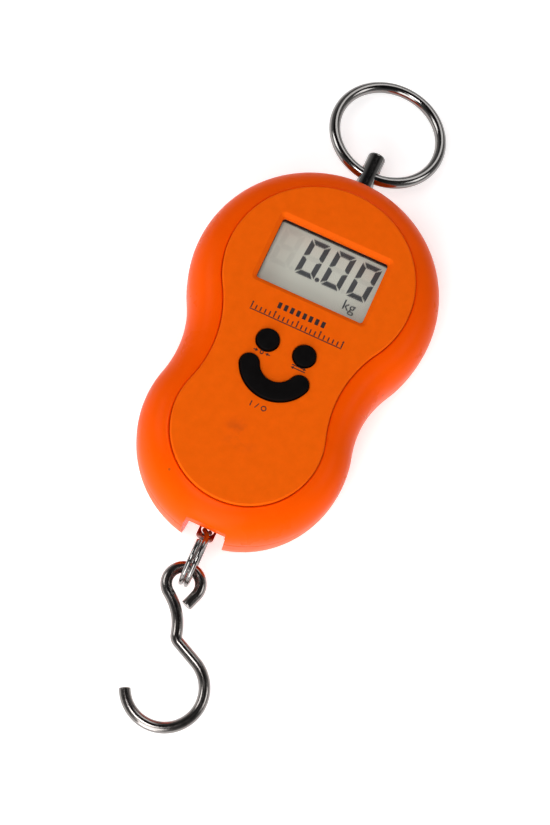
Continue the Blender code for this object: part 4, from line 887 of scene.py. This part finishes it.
class FISHSCALE_OT_rear_shell(Operator):
    """Rear shell with the battery well, screw wells and hook recess"""
    bl_idname = "fishscale.rear_shell"
    bl_label = "Rear shell"

    def execute(self, context):
        c = in_mm(context.scene.fish_scale.case)
        seam = c.parting - CLEARANCE / 2
        lap_inset, lap_top = c.wall / 2 + CLEARANCE, c.parting + LAP - CLEARANCE
        lower_end = c.lower_y - c.lower_radius
        outer = rolled_edge(20, c.back_round, seam, BACK_POWER)[2:]
        levels = [(inset, seam - rise) for inset, rise in reversed(outer)]
        levels += [(0.0, seam - 0.2), (0.05, seam - 0.05), (0.18, seam), (lap_inset, seam),
                   (lap_inset, lap_top), (c.wall, lap_top)]
        inner = rolled_edge(10, c.back_round - 1, seam - c.wall, BACK_POWER)[2:]
        levels += [(c.wall + inset, seam - rise) for inset, rise in inner]
        shell = new_object("rear_shell_finished",
                           add_loft(bmesh.new(), stack(case_outline(c), levels)))
        ribs = bmesh.new()
        add_posts(ribs, CASE_SCREWS, REAR_POST, 32, c.wall / 2, c.parting)
        wall = WELL_WALL + 0.6
        add_box(ribs, -WELL_HALF - wall, WELL_HALF + wall, WELL_LOW - wall,
                WELL_TOP + 2 * WELL_WALL, c.wall / 2, WELL_CEILING + 0.9)
        pocket_box(ribs, c, c.wall / 2, seam)
        add_ribs(shell, c, "rear_ribs", ribs)
        wells = bmesh.new()
        add_box(wells, -WELL_HALF, WELL_HALF, WELL_LOW, WELL_TOP, -1, WELL_CEILING)
        add_posts(wells, CASE_SCREWS, HEAD_HOLE, 40, -1, HEAD_SEAT)
        stem_bores(wells, c)
        combine(shell, "DIFFERENCE", "rear_wells", wells)
        seats = bmesh.new()
        add_prism(seats, rounded_box(2 * WELL_HALF + 3.0, WELL_TOP - WELL_LOW + 3.0, 1.0,
                                     (0, (WELL_TOP + WELL_LOW) / 2)), -2, c.wall)
        add_posts(seats, CASE_SCREWS, SHANK_HOLE, 24, HEAD_SEAT - 1, c.parting + 2)
        add_prism(seats, pocket_outline(POCKET_Y, lower_end - 3), -2, c.parting + 3)
        combine(shell, "DIFFERENCE", "rear_seats", seats)
        slots = bmesh.new()
        for side in (-1, 1):
            add_box(slots, side * 8 - 2.5, side * 8 + 2.5, WELL_TOP - 0.5, WELL_TOP + 3.6, 1.5, 5)
            add_box(slots, side * CELL_X - 1.6, side * CELL_X + 1.6, WELL_TOP - 1.4,
                    WELL_TOP + 0.1, WELL_CEILING - 1, WELL_CEILING + 3)
        reach = POCKET_HALF + POCKET_WALL + CLEARANCE
        add_box(slots, POCKET_X - reach, POCKET_X + reach, lower_end - 2, POCKET_Y - 1,
                c.parting - 0.1, c.parting + 2)
        combine(shell, "DIFFERENCE", "rear_slots", slots)
        dress(settle(shell, 32.0), "orange_abs", nodes=("rear_shell",))
        return {"FINISHED"}


class FISHSCALE_OT_face_plate(Operator):
    """Raised face plate with its window chamfer and key holes"""
    bl_idname = "fishscale.face_plate"
    bl_label = "Face plate"

    def execute(self, context):
        s = context.scene.fish_scale
        p, k, top = in_mm(s.plate), in_mm(s.keys), in_mm(s.case).thickness
        back = top - p.thickness
        levels = [(0.15, back), (0.0, back + 0.15)]
        levels += [(p.edge_round * (1 - math.cos(t)), top - p.edge_round * (1 - math.sin(t)))
                   for t in quarter(8)]
        plate = new_object("face_plate_finished",
                           add_loft(bmesh.new(), stack(lambda inset: gourd(p, inset), levels)))
        cuts = bmesh.new()
        b, d = p.window_bevel, p.bevel_depth
        add_loft(cuts, stack(
            lambda grow: rounded_box(p.window_width + 2 * grow, p.window_height + 2 * grow,
                                     0.8 + grow / 2, (0, p.window_y)),
            ((0.0, back - 1), (0.0, top - d - 0.08), (0.04, top - d + 0.02),
             (b - 0.1, top - 0.07), (b + 0.06, top), (b + 0.06, top + 1))))
        for _, outline, _ in key_outlines(k):
            add_loft(cuts, stack(outline, (
                (CLEARANCE, back - 1), (CLEARANCE, top - 0.2), (CLEARANCE + 0.06, top - 0.06),
                (CLEARANCE + 0.2, top), (CLEARANCE + 0.2, top + 1))))
        combine(plate, "DIFFERENCE", "plate_cuts", cuts)
        dress(settle(plate, 40.0), "orange_satin_abs", nodes=("face_plate",))
        return {"FINISHED"}


def stroke(mesh, a, b, width, low, high):
    """A flat printed bar between two points."""
    along = (Vector(b) - Vector(a)).normalized()
    across = Vector((-along.y, along.x)) * width / 2
    corners = [Vector(a) - across, Vector(b) - across, Vector(b) + across, Vector(a) + across]
    add_prism(mesh, [tuple(v) for v in corners], low, high)


def add_flat_ring(mesh, centre, outer, inner, stretch, low, high, count=40):
    """A flat ring of ink; stretch widens it across."""
    rows = []
    for radius, z in ((inner, low), (outer, low), (outer, high), (inner, high)):
        rows.append([mesh.verts.new((centre[0] + x * stretch, centre[1] + y, z))
                     for x, y in circle(radius, count)])
    rows.append(rows[0])
    for first, second in zip(rows, rows[1:]):
        for i in range(count):
            j = (i + 1) % count
            mesh.faces.new((first[i], first[j], second[j], second[i]))


class FISHSCALE_OT_printed_marks(Operator):
    """Graduations and key symbols pad-printed on the face plate"""
    bl_idname = "fishscale.printed_marks"
    bl_label = "Printed marks"

    def execute(self, context):
        top = in_mm(context.scene.fish_scale.case).thickness
        ink = (top + 0.005, top + 0.03)
        reach, foot, line = 13.1, 4.55, 0.26
        rows = (("printed_graduations", "tick_master", (-0.17, 0.17, 0.0, 1.3),
                 [(reach / 10 * (i - 10), foot, 0.0) for i in range(21)]),
                ("printed_blocks", "block_master", (-0.5, 0.5, 0.0, 1.75),
                 [(-6.3 + 1.8 * i, 7.5, 0.0) for i in range(8)]))
        for name, master, sides, points in rows:
            mark = new_object(master, add_box(bmesh.new(), *sides, *ink), shift=False)
            dress(copies(name, mark, points, "print"), "black_silicone", look="print")
        marks = bmesh.new()
        add_box(marks, -reach - 0.2, reach + 0.2, 4.15, 4.4, *ink)
        for x in (-reach, -reach / 2, 0.0, reach / 2, reach):
            add_box(marks, x - 0.22, x + 0.22, 5.95, 6.5, *ink)
        # Zero between two arrows under the first round key.
        x, y = -5.4, -5.65
        add_flat_ring(marks, (x, y), 0.62, 0.34, 0.85, *ink)
        for side in (-1, 1):
            neck = x + side * 1.75
            stroke(marks, (x + side * 2.35, y), (neck, y), line, *ink)
            add_prism(marks, [(neck, y + 0.5), (x + side * 1.05, y), (neck, y - 0.5)][::side],
                      *ink)
        # Two opposed arrows under the second round key.
        x = 5.2
        for row, side in ((y + 0.36, 1), (y - 0.36, -1)):
            neck = x + side * 1.3
            stroke(marks, (x - side * 2.0, row), (neck, row), line, *ink)
            add_prism(marks, [(neck, row + 0.42), (neck, row - 0.42),
                              (x + side * 2.1, row)][::side], *ink)
        # A bar and a ring, on and off, under the curved key.
        y = -19.7
        add_box(marks, -2.45, -2.15, y - 0.75, y + 0.75, *ink)
        stroke(marks, (-0.95, y - 0.75), (-0.25, y + 0.75), 0.24, *ink)
        add_flat_ring(marks, (1.35, y), 0.75, 0.48, 1.0, *ink)
        dress(settle(new_object("printed_symbols", marks)), "black_silicone", look="print")
        return {"FINISHED"}


FIGURE_WIDTH, FIGURE_HEIGHT, FIGURE_BAR, FIGURE_SLANT, FIGURE_FOOT = 5.7, 11.1, 1.45, 4.5, 20.7
DOT_RADIUS, DOT_Y = 0.65, 21.3
UNIT_SIGN_SIZE, UNIT_SIGN_SPOT = 4.1, (8.6, 16.75)


def figure(mesh, left, lit, low, high):
    """Bars of one seven-segment figure.  lit holds the letters of its bars: a top,
    b and c right, d bottom, e and f left, g middle."""
    w, height, t = FIGURE_WIDTH, FIGURE_HEIGHT, FIGURE_BAR
    lean = math.tan(math.radians(FIGURE_SLANT))
    gap, half = 0.16, height / 2
    nip, tip, cut = t + gap * 0.6, gap + 0.2, gap + 0.1
    bars = {
        "a": [(tip, height), (nip, height - t), (w - nip, height - t), (w - tip, height)],
        "d": [(tip, 0), (w - tip, 0), (w - nip, t), (nip, t)],
        "g": [(t * 0.35 + gap, half), (t + gap, half - t / 2), (w - t - gap, half - t / 2),
              (w - t * 0.35 - gap, half), (w - t - gap, half + t / 2), (t + gap, half + t / 2)],
        "f": [(0, height - tip), (0, half + gap), (t * 0.5, half + cut),
              (t, half + t * 0.5 + gap), (t, height - nip)],
        "e": [(0, half - gap), (0, tip), (t, nip), (t, half - t * 0.5 - gap),
              (t * 0.5, half - cut)],
        "b": [(w, half + gap), (w, height - tip), (w - t, height - nip),
              (w - t, half + t * 0.5 + gap), (w - t * 0.5, half + cut)],
        "c": [(w, tip), (w, half - gap), (w - t * 0.5, half - cut),
              (w - t, half - t * 0.5 - gap), (w - t, nip)],
    }
    for letter, points in bars.items():
        if letter in lit:
            add_prism(mesh, [(left + x + (y - half) * lean, FIGURE_FOOT + y)
                             for x, y in points], low, high)


class FISHSCALE_OT_display(Operator):
    """Window lens, gasket, liquid crystal panel and its figures"""
    bl_idname = "fishscale.display"
    bl_label = "Display"

    def execute(self, context):
        refine(0.12, "clear_acrylic", "display_lens")
        refine(0.08, "black_plastic", "display_gasket")
        refine(0.12, "lcd_glass", "lcd_panel")
        refine(0.1, "black_silicone", "zebra_strip_upper", "zebra_strip_lower")
        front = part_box("lcd_panel")[1].z / MM
        film = (front + 0.02, front + 0.05)
        pitch, first = 7.6, -14.25
        lit, idle = bmesh.new(), bmesh.new()
        for place in (1, 2, 3):
            figure(lit, first + place * pitch, "abcdef", *film)
            figure(idle, first + place * pitch, "g", *film)
        figure(idle, first, "abcdefg", *film)
        for mesh, x in ((lit, -0.45), (idle, -8.05), (idle, 7.15)):
            add_prism(mesh, circle(DOT_RADIUS, 32, (x, DOT_Y)), *film)
        dress(settle(new_object("display_figures", lit)), "black_plastic", look="segment")
        dress(settle(new_object("display_idle_segments", idle)), "lcd_glass",
              look="idle_segment")
        curve = bpy.data.curves.new("unit_sign", "FONT")
        curve.body = "kg"
        curve.size = UNIT_SIGN_SIZE
        curve.extrude = 0.015
        curve.offset = 0.03
        sign = bpy.data.objects.new("unit_sign", curve)
        context.scene.collection.objects.link(sign)
        context.view_layer.update()
        graph = context.evaluated_depsgraph_get()
        data = bpy.data.meshes.new_from_object(sign.evaluated_get(graph), depsgraph=graph)
        bpy.data.objects.remove(sign, do_unlink=True)
        work = bmesh.new()
        work.from_mesh(data)
        bmesh.ops.translate(work, vec=(*UNIT_SIGN_SPOT, sum(film) / 2), verts=work.verts)
        dress(settle(new_object("display_unit", work)), "black_plastic", look="segment")
        return {"FINISHED"}


class FISHSCALE_OT_keys(Operator):
    """The two round keys and the curved one, with their switches"""
    bl_idname = "fishscale.keys"
    bl_label = "Keys"

    def execute(self, context):
        s = context.scene.fish_scale
        k, p, c = in_mm(s.keys), in_mm(s.plate), in_mm(s.case)
        top = c.thickness + k.proud
        flange_top = c.thickness - p.thickness - 2 * CLEARANCE - c.wall
        flange_low = flange_top - 1.1
        levels = [(0.8, flange_low), (0.9, flange_low + 0.1), (0.9, flange_top - 0.1),
                  (0.8, flange_top), (0.1, flange_top), (0.0, flange_top + 0.1)]
        levels += [(-0.4 * (1 - math.cos(t)), top - 0.48 + 0.4 * math.sin(t))
                   for t in quarter(8)]
        levels += [(-0.8, top - 0.04), (-1.3, top - 0.01), (-1.9, top)]
        for name, outline, stub in key_outlines(k):
            key = new_object(name + "_key", add_loft(bmesh.new(), stack(outline, levels)))
            combine(key, "UNION", "stub", add_prism(bmesh.new(), circle(1.2, 32, stub),
                                                    flange_low - 0.15, flange_low + 0.5))
            button = name + "_button"
            dress(settle(key), "black_silicone", button, (button,))
            refine(0.1, "black_plastic", name + "_switch_base")
            refine(0.08, "contact_plate", name + "_switch_plunger", body=name + "_plunger")
        return {"FINISHED"}


def cross_bore(radius, edge, flare):
    """Profile of a hole through a stem, with both mouths rounded."""
    half = [(radius, -4), (radius, -edge)]
    half += [(radius - flare * math.sin(t), -edge + 0.8 * (1 - math.cos(t)))
             for t in quarter(6)[1:]]
    return half + [(r, -d) for r, d in reversed(half)]


class FISHSCALE_OT_hanger(Operator):
    """Turned stem at the top of the case, with its nut"""
    bl_idname = "fishscale.hanger"
    bl_label = "Hanger stem"

    def execute(self, context):
        m = in_mm(context.scene.fish_scale.metal)
        thread, neck, collar, tip, rounding = 1.5, 2.6, 3.8, 66.2, 0.85
        shoulder = tip - rounding
        profile = [(thread, 24.0), (thread, 35.2), (neck, 35.2), (neck, 50.1), (collar, 50.1),
                   (collar, 51.6), (neck, 51.6), (neck, shoulder)]
        profile += [(neck - rounding * (1 - math.cos(t)), shoulder + rounding * math.sin(t))
                    for t in quarter(8)[1:]]
        profile.append((0.9, tip))
        stem = new_object("hanger_stem_finished",
                          add_lathe(bmesh.new(), profile, (0, 0, AXIS_Z), "Y"))
        combine(stem, "DIFFERENCE", "hole",
                add_lathe(bmesh.new(), cross_bore(2.45, 2.4, 0.5), (0, m.top_hole_y, AXIS_Z),
                          "X"))
        dress(settle(stem), "bright_steel", nodes=("hanger_stem",))
        refine(0.2, "zinc_screw", "hanger_nut")
        return {"FINISHED"}


class FISHSCALE_OT_hanger_ring(Operator):
    """Closed wire ring that hangs in the stem's cross hole"""
    bl_idname = "fishscale.hanger_ring"
    bl_label = "Hanger ring"

    def execute(self, context):
        m = in_mm(context.scene.fish_scale.metal)
        turn = (Matrix.Translation((0, m.top_hole_y, AXIS_Z))
                @ Matrix.Rotation(math.radians(-m.ring_droop), 4, "X")
                @ Matrix.Rotation(math.radians(m.ring_lean), 4, "Y"))
        path = [turn @ Vector((x, y + m.ring_radius - 0.1, 0))
                for x, y in circle(m.ring_radius, 160, start=-math.pi / 2)]
        ring = wire("hanger_ring_finished", path, m.ring_wire, "bright_steel", m.wire_sides,
                    closed=True)
        dress(ring, "bright_steel", "hanger_ring", ("hanger_ring",))
        return {"FINISHED"}


class FISHSCALE_OT_swivel(Operator):
    """Turned stem that carries the hook, with its washer and nut"""
    bl_idname = "fishscale.swivel"
    bl_label = "Swivel stem"

    def execute(self, context):
        m = in_mm(context.scene.fish_scale.metal)
        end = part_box("swivel_stem")[1].y / MM - MIDDLE.y
        thread, neck, tip, rounding = 1.5, 2.4, -55.0, 0.6
        profile = [(0.9, tip)]
        profile += [(neck - rounding * (1 - math.sin(t)), tip + rounding * (1 - math.cos(t)))
                    for t in quarter(8)]
        profile += [(neck, -29.45), (neck - 0.15, -29.3), (thread, -29.3), (thread, end - 0.2),
                    (thread - 0.2, end)]
        stem = new_object("swivel_stem_finished",
                          add_lathe(bmesh.new(), profile, (m.stem_x, 0, AXIS_Z), "Y"))
        combine(stem, "DIFFERENCE", "hole",
                add_lathe(bmesh.new(), cross_bore(2.25, 2.2, 0.45),
                          (m.stem_x, m.lower_hole_y, AXIS_Z)))
        # The stem's red-brown look is painted reflection and painted shade, not the steel's own
        # colour.
        dress(settle(stem), "bright_steel", "swivel", ("swivel_stem",), look="browned_steel")
        refine(0.2, "zinc_screw", "swivel_nut", body="swivel")
        refine(0.12, "zinc_screw", "swivel_washer")
        return {"FINISHED"}


def split_ring_seat(m):
    """Seat of the split ring in the swivel's hole, its down and front ways."""
    droop = math.radians(m.split_droop)
    return (Vector((m.stem_x, m.lower_hole_y - 0.35, AXIS_Z)),
            Vector((0, -math.cos(droop), -math.sin(droop))),
            Vector((0, -math.sin(droop), math.cos(droop))))


class FISHSCALE_OT_split_ring(Operator):
    """Double coil of spring wire between the swivel and the hook"""
    bl_idname = "fishscale.split_ring"
    bl_label = "Split ring"

    def execute(self, context):
        m = in_mm(context.scene.fish_scale.metal)
        seat, down, front = split_ring_seat(m)
        centre = seat + down * m.split_radius
        start, sweep, steps = 60, 660, 240
        step_from, step_over = 305, 45
        path = []
        for i in range(steps + 1):
            turn = sweep * i / steps
            around = math.radians(start + turn)
            blend = min(max((turn - step_from) / step_over, 0.0), 1.0)
            shift = (blend * blend * (3 - 2 * blend) - 0.5) * m.split_pitch
            path.append(centre + m.split_radius * (math.cos(around) * -down
                                                   + math.sin(around) * front)
                        + Vector((shift, 0, 0)))
        ring = wire("split_ring_finished", path, m.split_wire, "bright_steel", 24, cut=0.15)
        dress(ring, "bright_steel", "split_ring", ("split_ring",))
        return {"FINISHED"}


class FISHSCALE_OT_hook(Operator):
    """Bent wire hook with its eye and open bow"""
    bl_idname = "fishscale.hook"
    bl_label = "Hook"

    def execute(self, context):
        m = in_mm(context.scene.fish_scale.metal)
        seat, down, _ = split_ring_seat(m)
        pivot = seat + down * (2 * m.split_radius)
        heading, tail, eye, off_centre = 70.6, 3.7, 4.5, 0.1
        turn = math.radians(heading)
        foot = (pivot.x + off_centre + eye * math.sin(turn) - tail * math.cos(turn),
                pivot.y - eye * math.cos(turn) - tail * math.sin(turn))
        bends = [("run", tail), ("bend", eye, 255.4), ("bend", 15.5, -40.9), ("run", 0.4),
                 ("bend", 2.4, 49.4), ("run", 6.7), ("bend", 10.2, -219.6)]
        path = [(x, y, pivot.z) for x, y in bend_wire(foot, heading, bends)]
        hook = wire("hook_finished", path, m.hook_wire, "nickel_wire", m.wire_sides, cut=0.3)
        dress(hook, "nickel_wire", "hook", ("hook",))
        return {"FINISHED"}


CELL_X, CELL_Z = 5.65, 7.4           # the middle of either cell


def cell_profile(nub_up):
    """Radius and distance along one AAA cell, its rolled rims included."""
    length, total = 43.3, 44.5
    body = [(4.4, 0.15), (4.7, 0.0), (5.0, 0.08), (5.2, 0.3), (5.25, 0.6), (5.25, length - 0.6),
            (5.2, length - 0.3), (5.0, length - 0.08), (4.7, length), (4.4, length - 0.15),
            (2.1, length - 0.15), (1.9, length), (1.9, total - 0.2), (1.75, total - 0.04),
            (1.5, total)]
    return body if nub_up else [(r, total - d) for r, d in reversed(body)]


class FISHSCALE_OT_batteries(Operator):
    """Two AAA cells with their contacts, springs and leads"""
    bl_idname = "fishscale.batteries"
    bl_label = "Batteries"

    def execute(self, context):
        for name, x, nub_up in (("battery_right", CELL_X, True),
                                ("battery_left", -CELL_X, False)):
            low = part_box(name)[0].y / MM - MIDDLE.y
            cell = add_lathe(bmesh.new(), cell_profile(nub_up), (x, low, CELL_Z), "Y")
            dress(settle(new_object(name + "_finished", cell)), "battery_jacket", nodes=(name,))
        refine(0.1, "contact_plate", "contact_plus", "contact_minus", "bridge_contact")
        coils, steps, spring_wire = 3.5, 140, 0.3
        for name, x in (("contact_spring_minus", -CELL_X), ("bridge_spring", CELL_X)):
            low, high = (corner.y / MM - MIDDLE.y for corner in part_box(name))
            first, last = high - spring_wire, low + spring_wire
            if x > 0:
                first, last = last, first
            path = []
            for i in range(steps + 1):
                part = i / steps
                around, radius = 2 * math.pi * coils * part, 3.4 - 1.6 * part
                path.append((x + radius * math.cos(around), first + (last - first) * part,
                             CELL_Z + radius * math.sin(around)))
            spring = wire(name + "_finished", path, spring_wire, "contact_plate", 16, cut=0.08)
            dress(spring, "contact_plate", nodes=(name,))
        refine(0.0, "red_insulation", "battery_lead_red")
        refine(0.0, "black_insulation", "battery_lead_black")
        refine(0.0, "white_insulation", "gauge_lead_white")
        refine(0.0, "red_insulation", "gauge_lead_red")
        return {"FINISHED"}


class FISHSCALE_OT_works(Operator):
    """Main board, its chip and small parts, load cell and gauges"""
    bl_idname = "fishscale.works"
    bl_label = "Works"

    def execute(self, context):
        refine(0.08, "board_green", "main_board")
        refine(0.0, "black_plastic", "controller_chip")
        refine(0.3, "milled_aluminium", "load_cell")
        refine(0.03, "gauge_foil", "strain_gauge_upper", "strain_gauge_lower")
        part = new_object("chip_part", add_box(bmesh.new(), -0.4, 0.4, -0.8, 0.8, 0.05, 0.55),
                          shift=False)
        spots = [(x, y, BOARD_TOP) for x in (-8.5, -7.0, 7.0, 8.5) for y in (2.5, 6.0, 9.0)]
        dress(copies("small_parts", part, spots, "contact_plate"), "contact_plate")
        return {"FINISHED"}


def screw(radius, shank, head, length, drive):
    """A cross-recessed screw with its head's underside at the origin."""
    profile = [(radius * 0.55, -head), (radius * 0.8, -head + 0.12), (radius * 0.95, -head + 0.4),
               (radius, -head + 0.75), (radius, 0.0), (shank, 0.0)]
    turns = max(3, round((length - 2) / 0.9))
    pitch = (length - 2) / turns
    for i in range(turns):
        profile += [(shank, pitch * (i + 0.15)), (shank * 0.78, pitch * (i + 0.5)),
                    (shank * 0.78, pitch * (i + 0.7)), (shank, pitch * (i + 1.0))]
    profile.append((0.3, length))
    piece = new_object("screw_master", add_lathe(bmesh.new(), profile, (0, 0, 0), "Z", 28),
                       shift=False)
    a, b = drive
    cross = [(a, a), (a, b), (-a, b), (-a, a), (-b, a), (-b, -a), (-a, -a), (-a, -b), (a, -b),
             (a, -a), (b, -a), (b, a)]
    combine(piece, "DIFFERENCE", "drive",
            add_prism(bmesh.new(), cross, -head - 1, -head + 0.6 * head), shift=False)
    return settle(piece)


class FISHSCALE_OT_screws(Operator):
    """Case screws and board screws"""
    bl_idname = "fishscale.screws"
    bl_label = "Screws"

    def execute(self, context):
        corners = ("upper_right", "upper_left", "lower_right", "lower_left")
        for kind, spots, height, sizes in (
                ("case_screw", CASE_SCREWS, HEAD_SEAT - CLEARANCE, (2.4, 1.3, 1.8, 12.0, (0.4, 1.6))),
                ("board_screw", BOARD_SCREWS, 20.2, (1.7, 0.8, 1.1, 4.2, (0.25, 1.0)))):
            points = [(x, y, height) for x, y in spots]
            screws = copies(kind + "s", screw(*sizes), points, "zinc_screw")
            dress(screws, "zinc_screw", nodes=[kind + "_" + corner for corner in corners])
        return {"FINISHED"}


class FISHSCALE_OT_battery_cover(Operator):
    """Hinged battery cover with its finger grip"""
    bl_idname = "fishscale.battery_cover"
    bl_label = "Battery cover"

    def execute(self, context):
        refine(0.15, "orange_abs", "battery_cover", body="battery_cover", limit=40.0)
        return {"FINISHED"}


# Each light's place in metres, its width and its power.
LIGHTS = {"Key": ((0.05, -0.75, 0.55), 0.55, 3.7), "Low": ((0.0, -0.9, 0.12), 0.4, 4.0),
          "Top": ((-0.1, -0.32, 0.95), 0.3, 2.9), "Left": ((-0.8, 0.0, 0.6), 0.4, 1.9),
          "Right": ((0.8, 0.2, 0.6), 0.4, 1.4), "Back": ((0.1, 0.85, 0.7), 0.5, 1.3)}
LIGHT_TARGET = Vector((0.0, 0.02, 0.02))
CAMERA_SPOT, CAMERA_TARGET = Vector((0.0175, -0.1417, 0.4930)), Vector((0.0041, 0.0108, 0.0170))
CAMERA_LENS, CAMERA_LEAN = 81.4, math.radians(24.864)


class FISHSCALE_OT_stage(Operator):
    """Pale floor, soft lights and the camera"""
    bl_idname = "fishscale.stage"
    bl_label = "Stage"

    def execute(self, context):
        scene = context.scene
        floor = new_object("floor", add_box(bmesh.new(), -4000, 4000, -4000, 4000, -20.0, -0.3))
        mat = bpy.data.materials.new("Matt white sweep")
        mat.use_nodes = True
        shader = mat.node_tree.nodes["Principled BSDF"]
        for label, value in (("Base Color", (0.93, 0.93, 0.93, 1.0)), ("Roughness", 0.9),
                             ("Emission Color", (1.0, 1.0, 1.0, 1.0)),
                             ("Emission Strength", 0.48)):
            shader.inputs[label].default_value = value
        floor.data.materials.append(mat)

        world = bpy.data.worlds.new("Studio")
        world.use_nodes = True
        scene.world = world
        tree = world.node_tree
        place = put(tree, "ShaderNodeTexCoord")
        split = put(tree, "ShaderNodeSeparateXYZ", {"Vector": place.outputs["Generated"]})
        ramp = put(tree, "ShaderNodeValToRGB", {"Fac": split.outputs["Z"]})
        for element, at, colour in zip(ramp.color_ramp.elements, (0.05, 0.75),
                                       ((0.95, 0.95, 0.95, 1.0), (0.03, 0.03, 0.032, 1.0))):
            element.position = at
            element.color = colour
        backdrop = tree.nodes["Background"].inputs
        tree.links.new(ramp.outputs["Color"], backdrop["Color"])
        backdrop["Strength"].default_value = 0.4

        for name, (spot, width, power) in LIGHTS.items():
            data = bpy.data.lights.new(name, "AREA")
            data.shape = "SQUARE"
            data.size = width
            data.energy = power
            light = bpy.data.objects.new(name, data)
            light.location = spot
            aim = LIGHT_TARGET - Vector(spot)
            light.rotation_euler = aim.to_track_quat("-Z", "Y").to_euler()
            scene.collection.objects.link(light)

        # The camera looks down from the hook's side, turned so the case leans right.
        data = bpy.data.cameras.new("Camera")
        data.lens = CAMERA_LENS
        data.sensor_width = 36.0
        data.clip_start = 0.01
        data.clip_end = 20.0
        camera = bpy.data.objects.new("Camera", data)
        away = (CAMERA_TARGET - CAMERA_SPOT).normalized()
        upward = (Vector((0, 1, 0)) - away * away.y).normalized()
        across = away.cross(upward)
        right = across * math.cos(CAMERA_LEAN) + upward * math.sin(CAMERA_LEAN)
        up = upward * math.cos(CAMERA_LEAN) - across * math.sin(CAMERA_LEAN)
        turned = Matrix((right, up, -away)).transposed().to_4x4()
        camera.matrix_world = Matrix.Translation(CAMERA_SPOT) @ turned
        scene.collection.objects.link(camera)
        scene.camera = camera
        scene.view_settings.view_transform = "Standard"
        return {"FINISHED"}


PIECES = (FISHSCALE_OT_front_shell, FISHSCALE_OT_rear_shell, FISHSCALE_OT_face_plate,
          FISHSCALE_OT_printed_marks, FISHSCALE_OT_display, FISHSCALE_OT_keys,
          FISHSCALE_OT_hanger, FISHSCALE_OT_hanger_ring, FISHSCALE_OT_swivel,
          FISHSCALE_OT_split_ring, FISHSCALE_OT_hook, FISHSCALE_OT_batteries,
          FISHSCALE_OT_works, FISHSCALE_OT_screws, FISHSCALE_OT_battery_cover,
          FISHSCALE_OT_stage)


class FISHSCALE_PT_panel(Panel):
    """Lists the steps that dress the fish scale"""
    bl_label = "Fish Scale"
    bl_idname = "FISHSCALE_PT_panel"
    bl_space_type = "VIEW_3D"
    bl_region_type = "UI"
    bl_category = "Fish Scale"

    def draw(self, context):
        layout = self.layout
        settings = context.scene.fish_scale
        for group in (settings.case, settings.plate, settings.keys, settings.metal,
                      settings.colours):
            box = layout.box()
            for item in group.bl_rna.properties:
                if item.identifier not in {"rna_type", "name"}:
                    box.prop(group, item.identifier)
        for piece in PIECES:
            layout.operator(piece.bl_idname)


CLASSES = (CaseSizes, PlateSizes, KeySizes, MetalSizes, ScaleColours, ScaleSettings,
           *PIECES, FISHSCALE_PT_panel)


def register():
    for item in CLASSES:
        bpy.utils.register_class(item)
    bpy.types.Scene.fish_scale = PointerProperty(type=ScaleSettings)


def unregister():
    del bpy.types.Scene.fish_scale
    for item in reversed(CLASSES):
        bpy.utils.unregister_class(item)


def main():
    register()
    for piece in PIECES:
        folder, name = piece.bl_idname.split(".")
        getattr(getattr(bpy.ops, folder), name)()


if __name__ == "__main__":
    main()
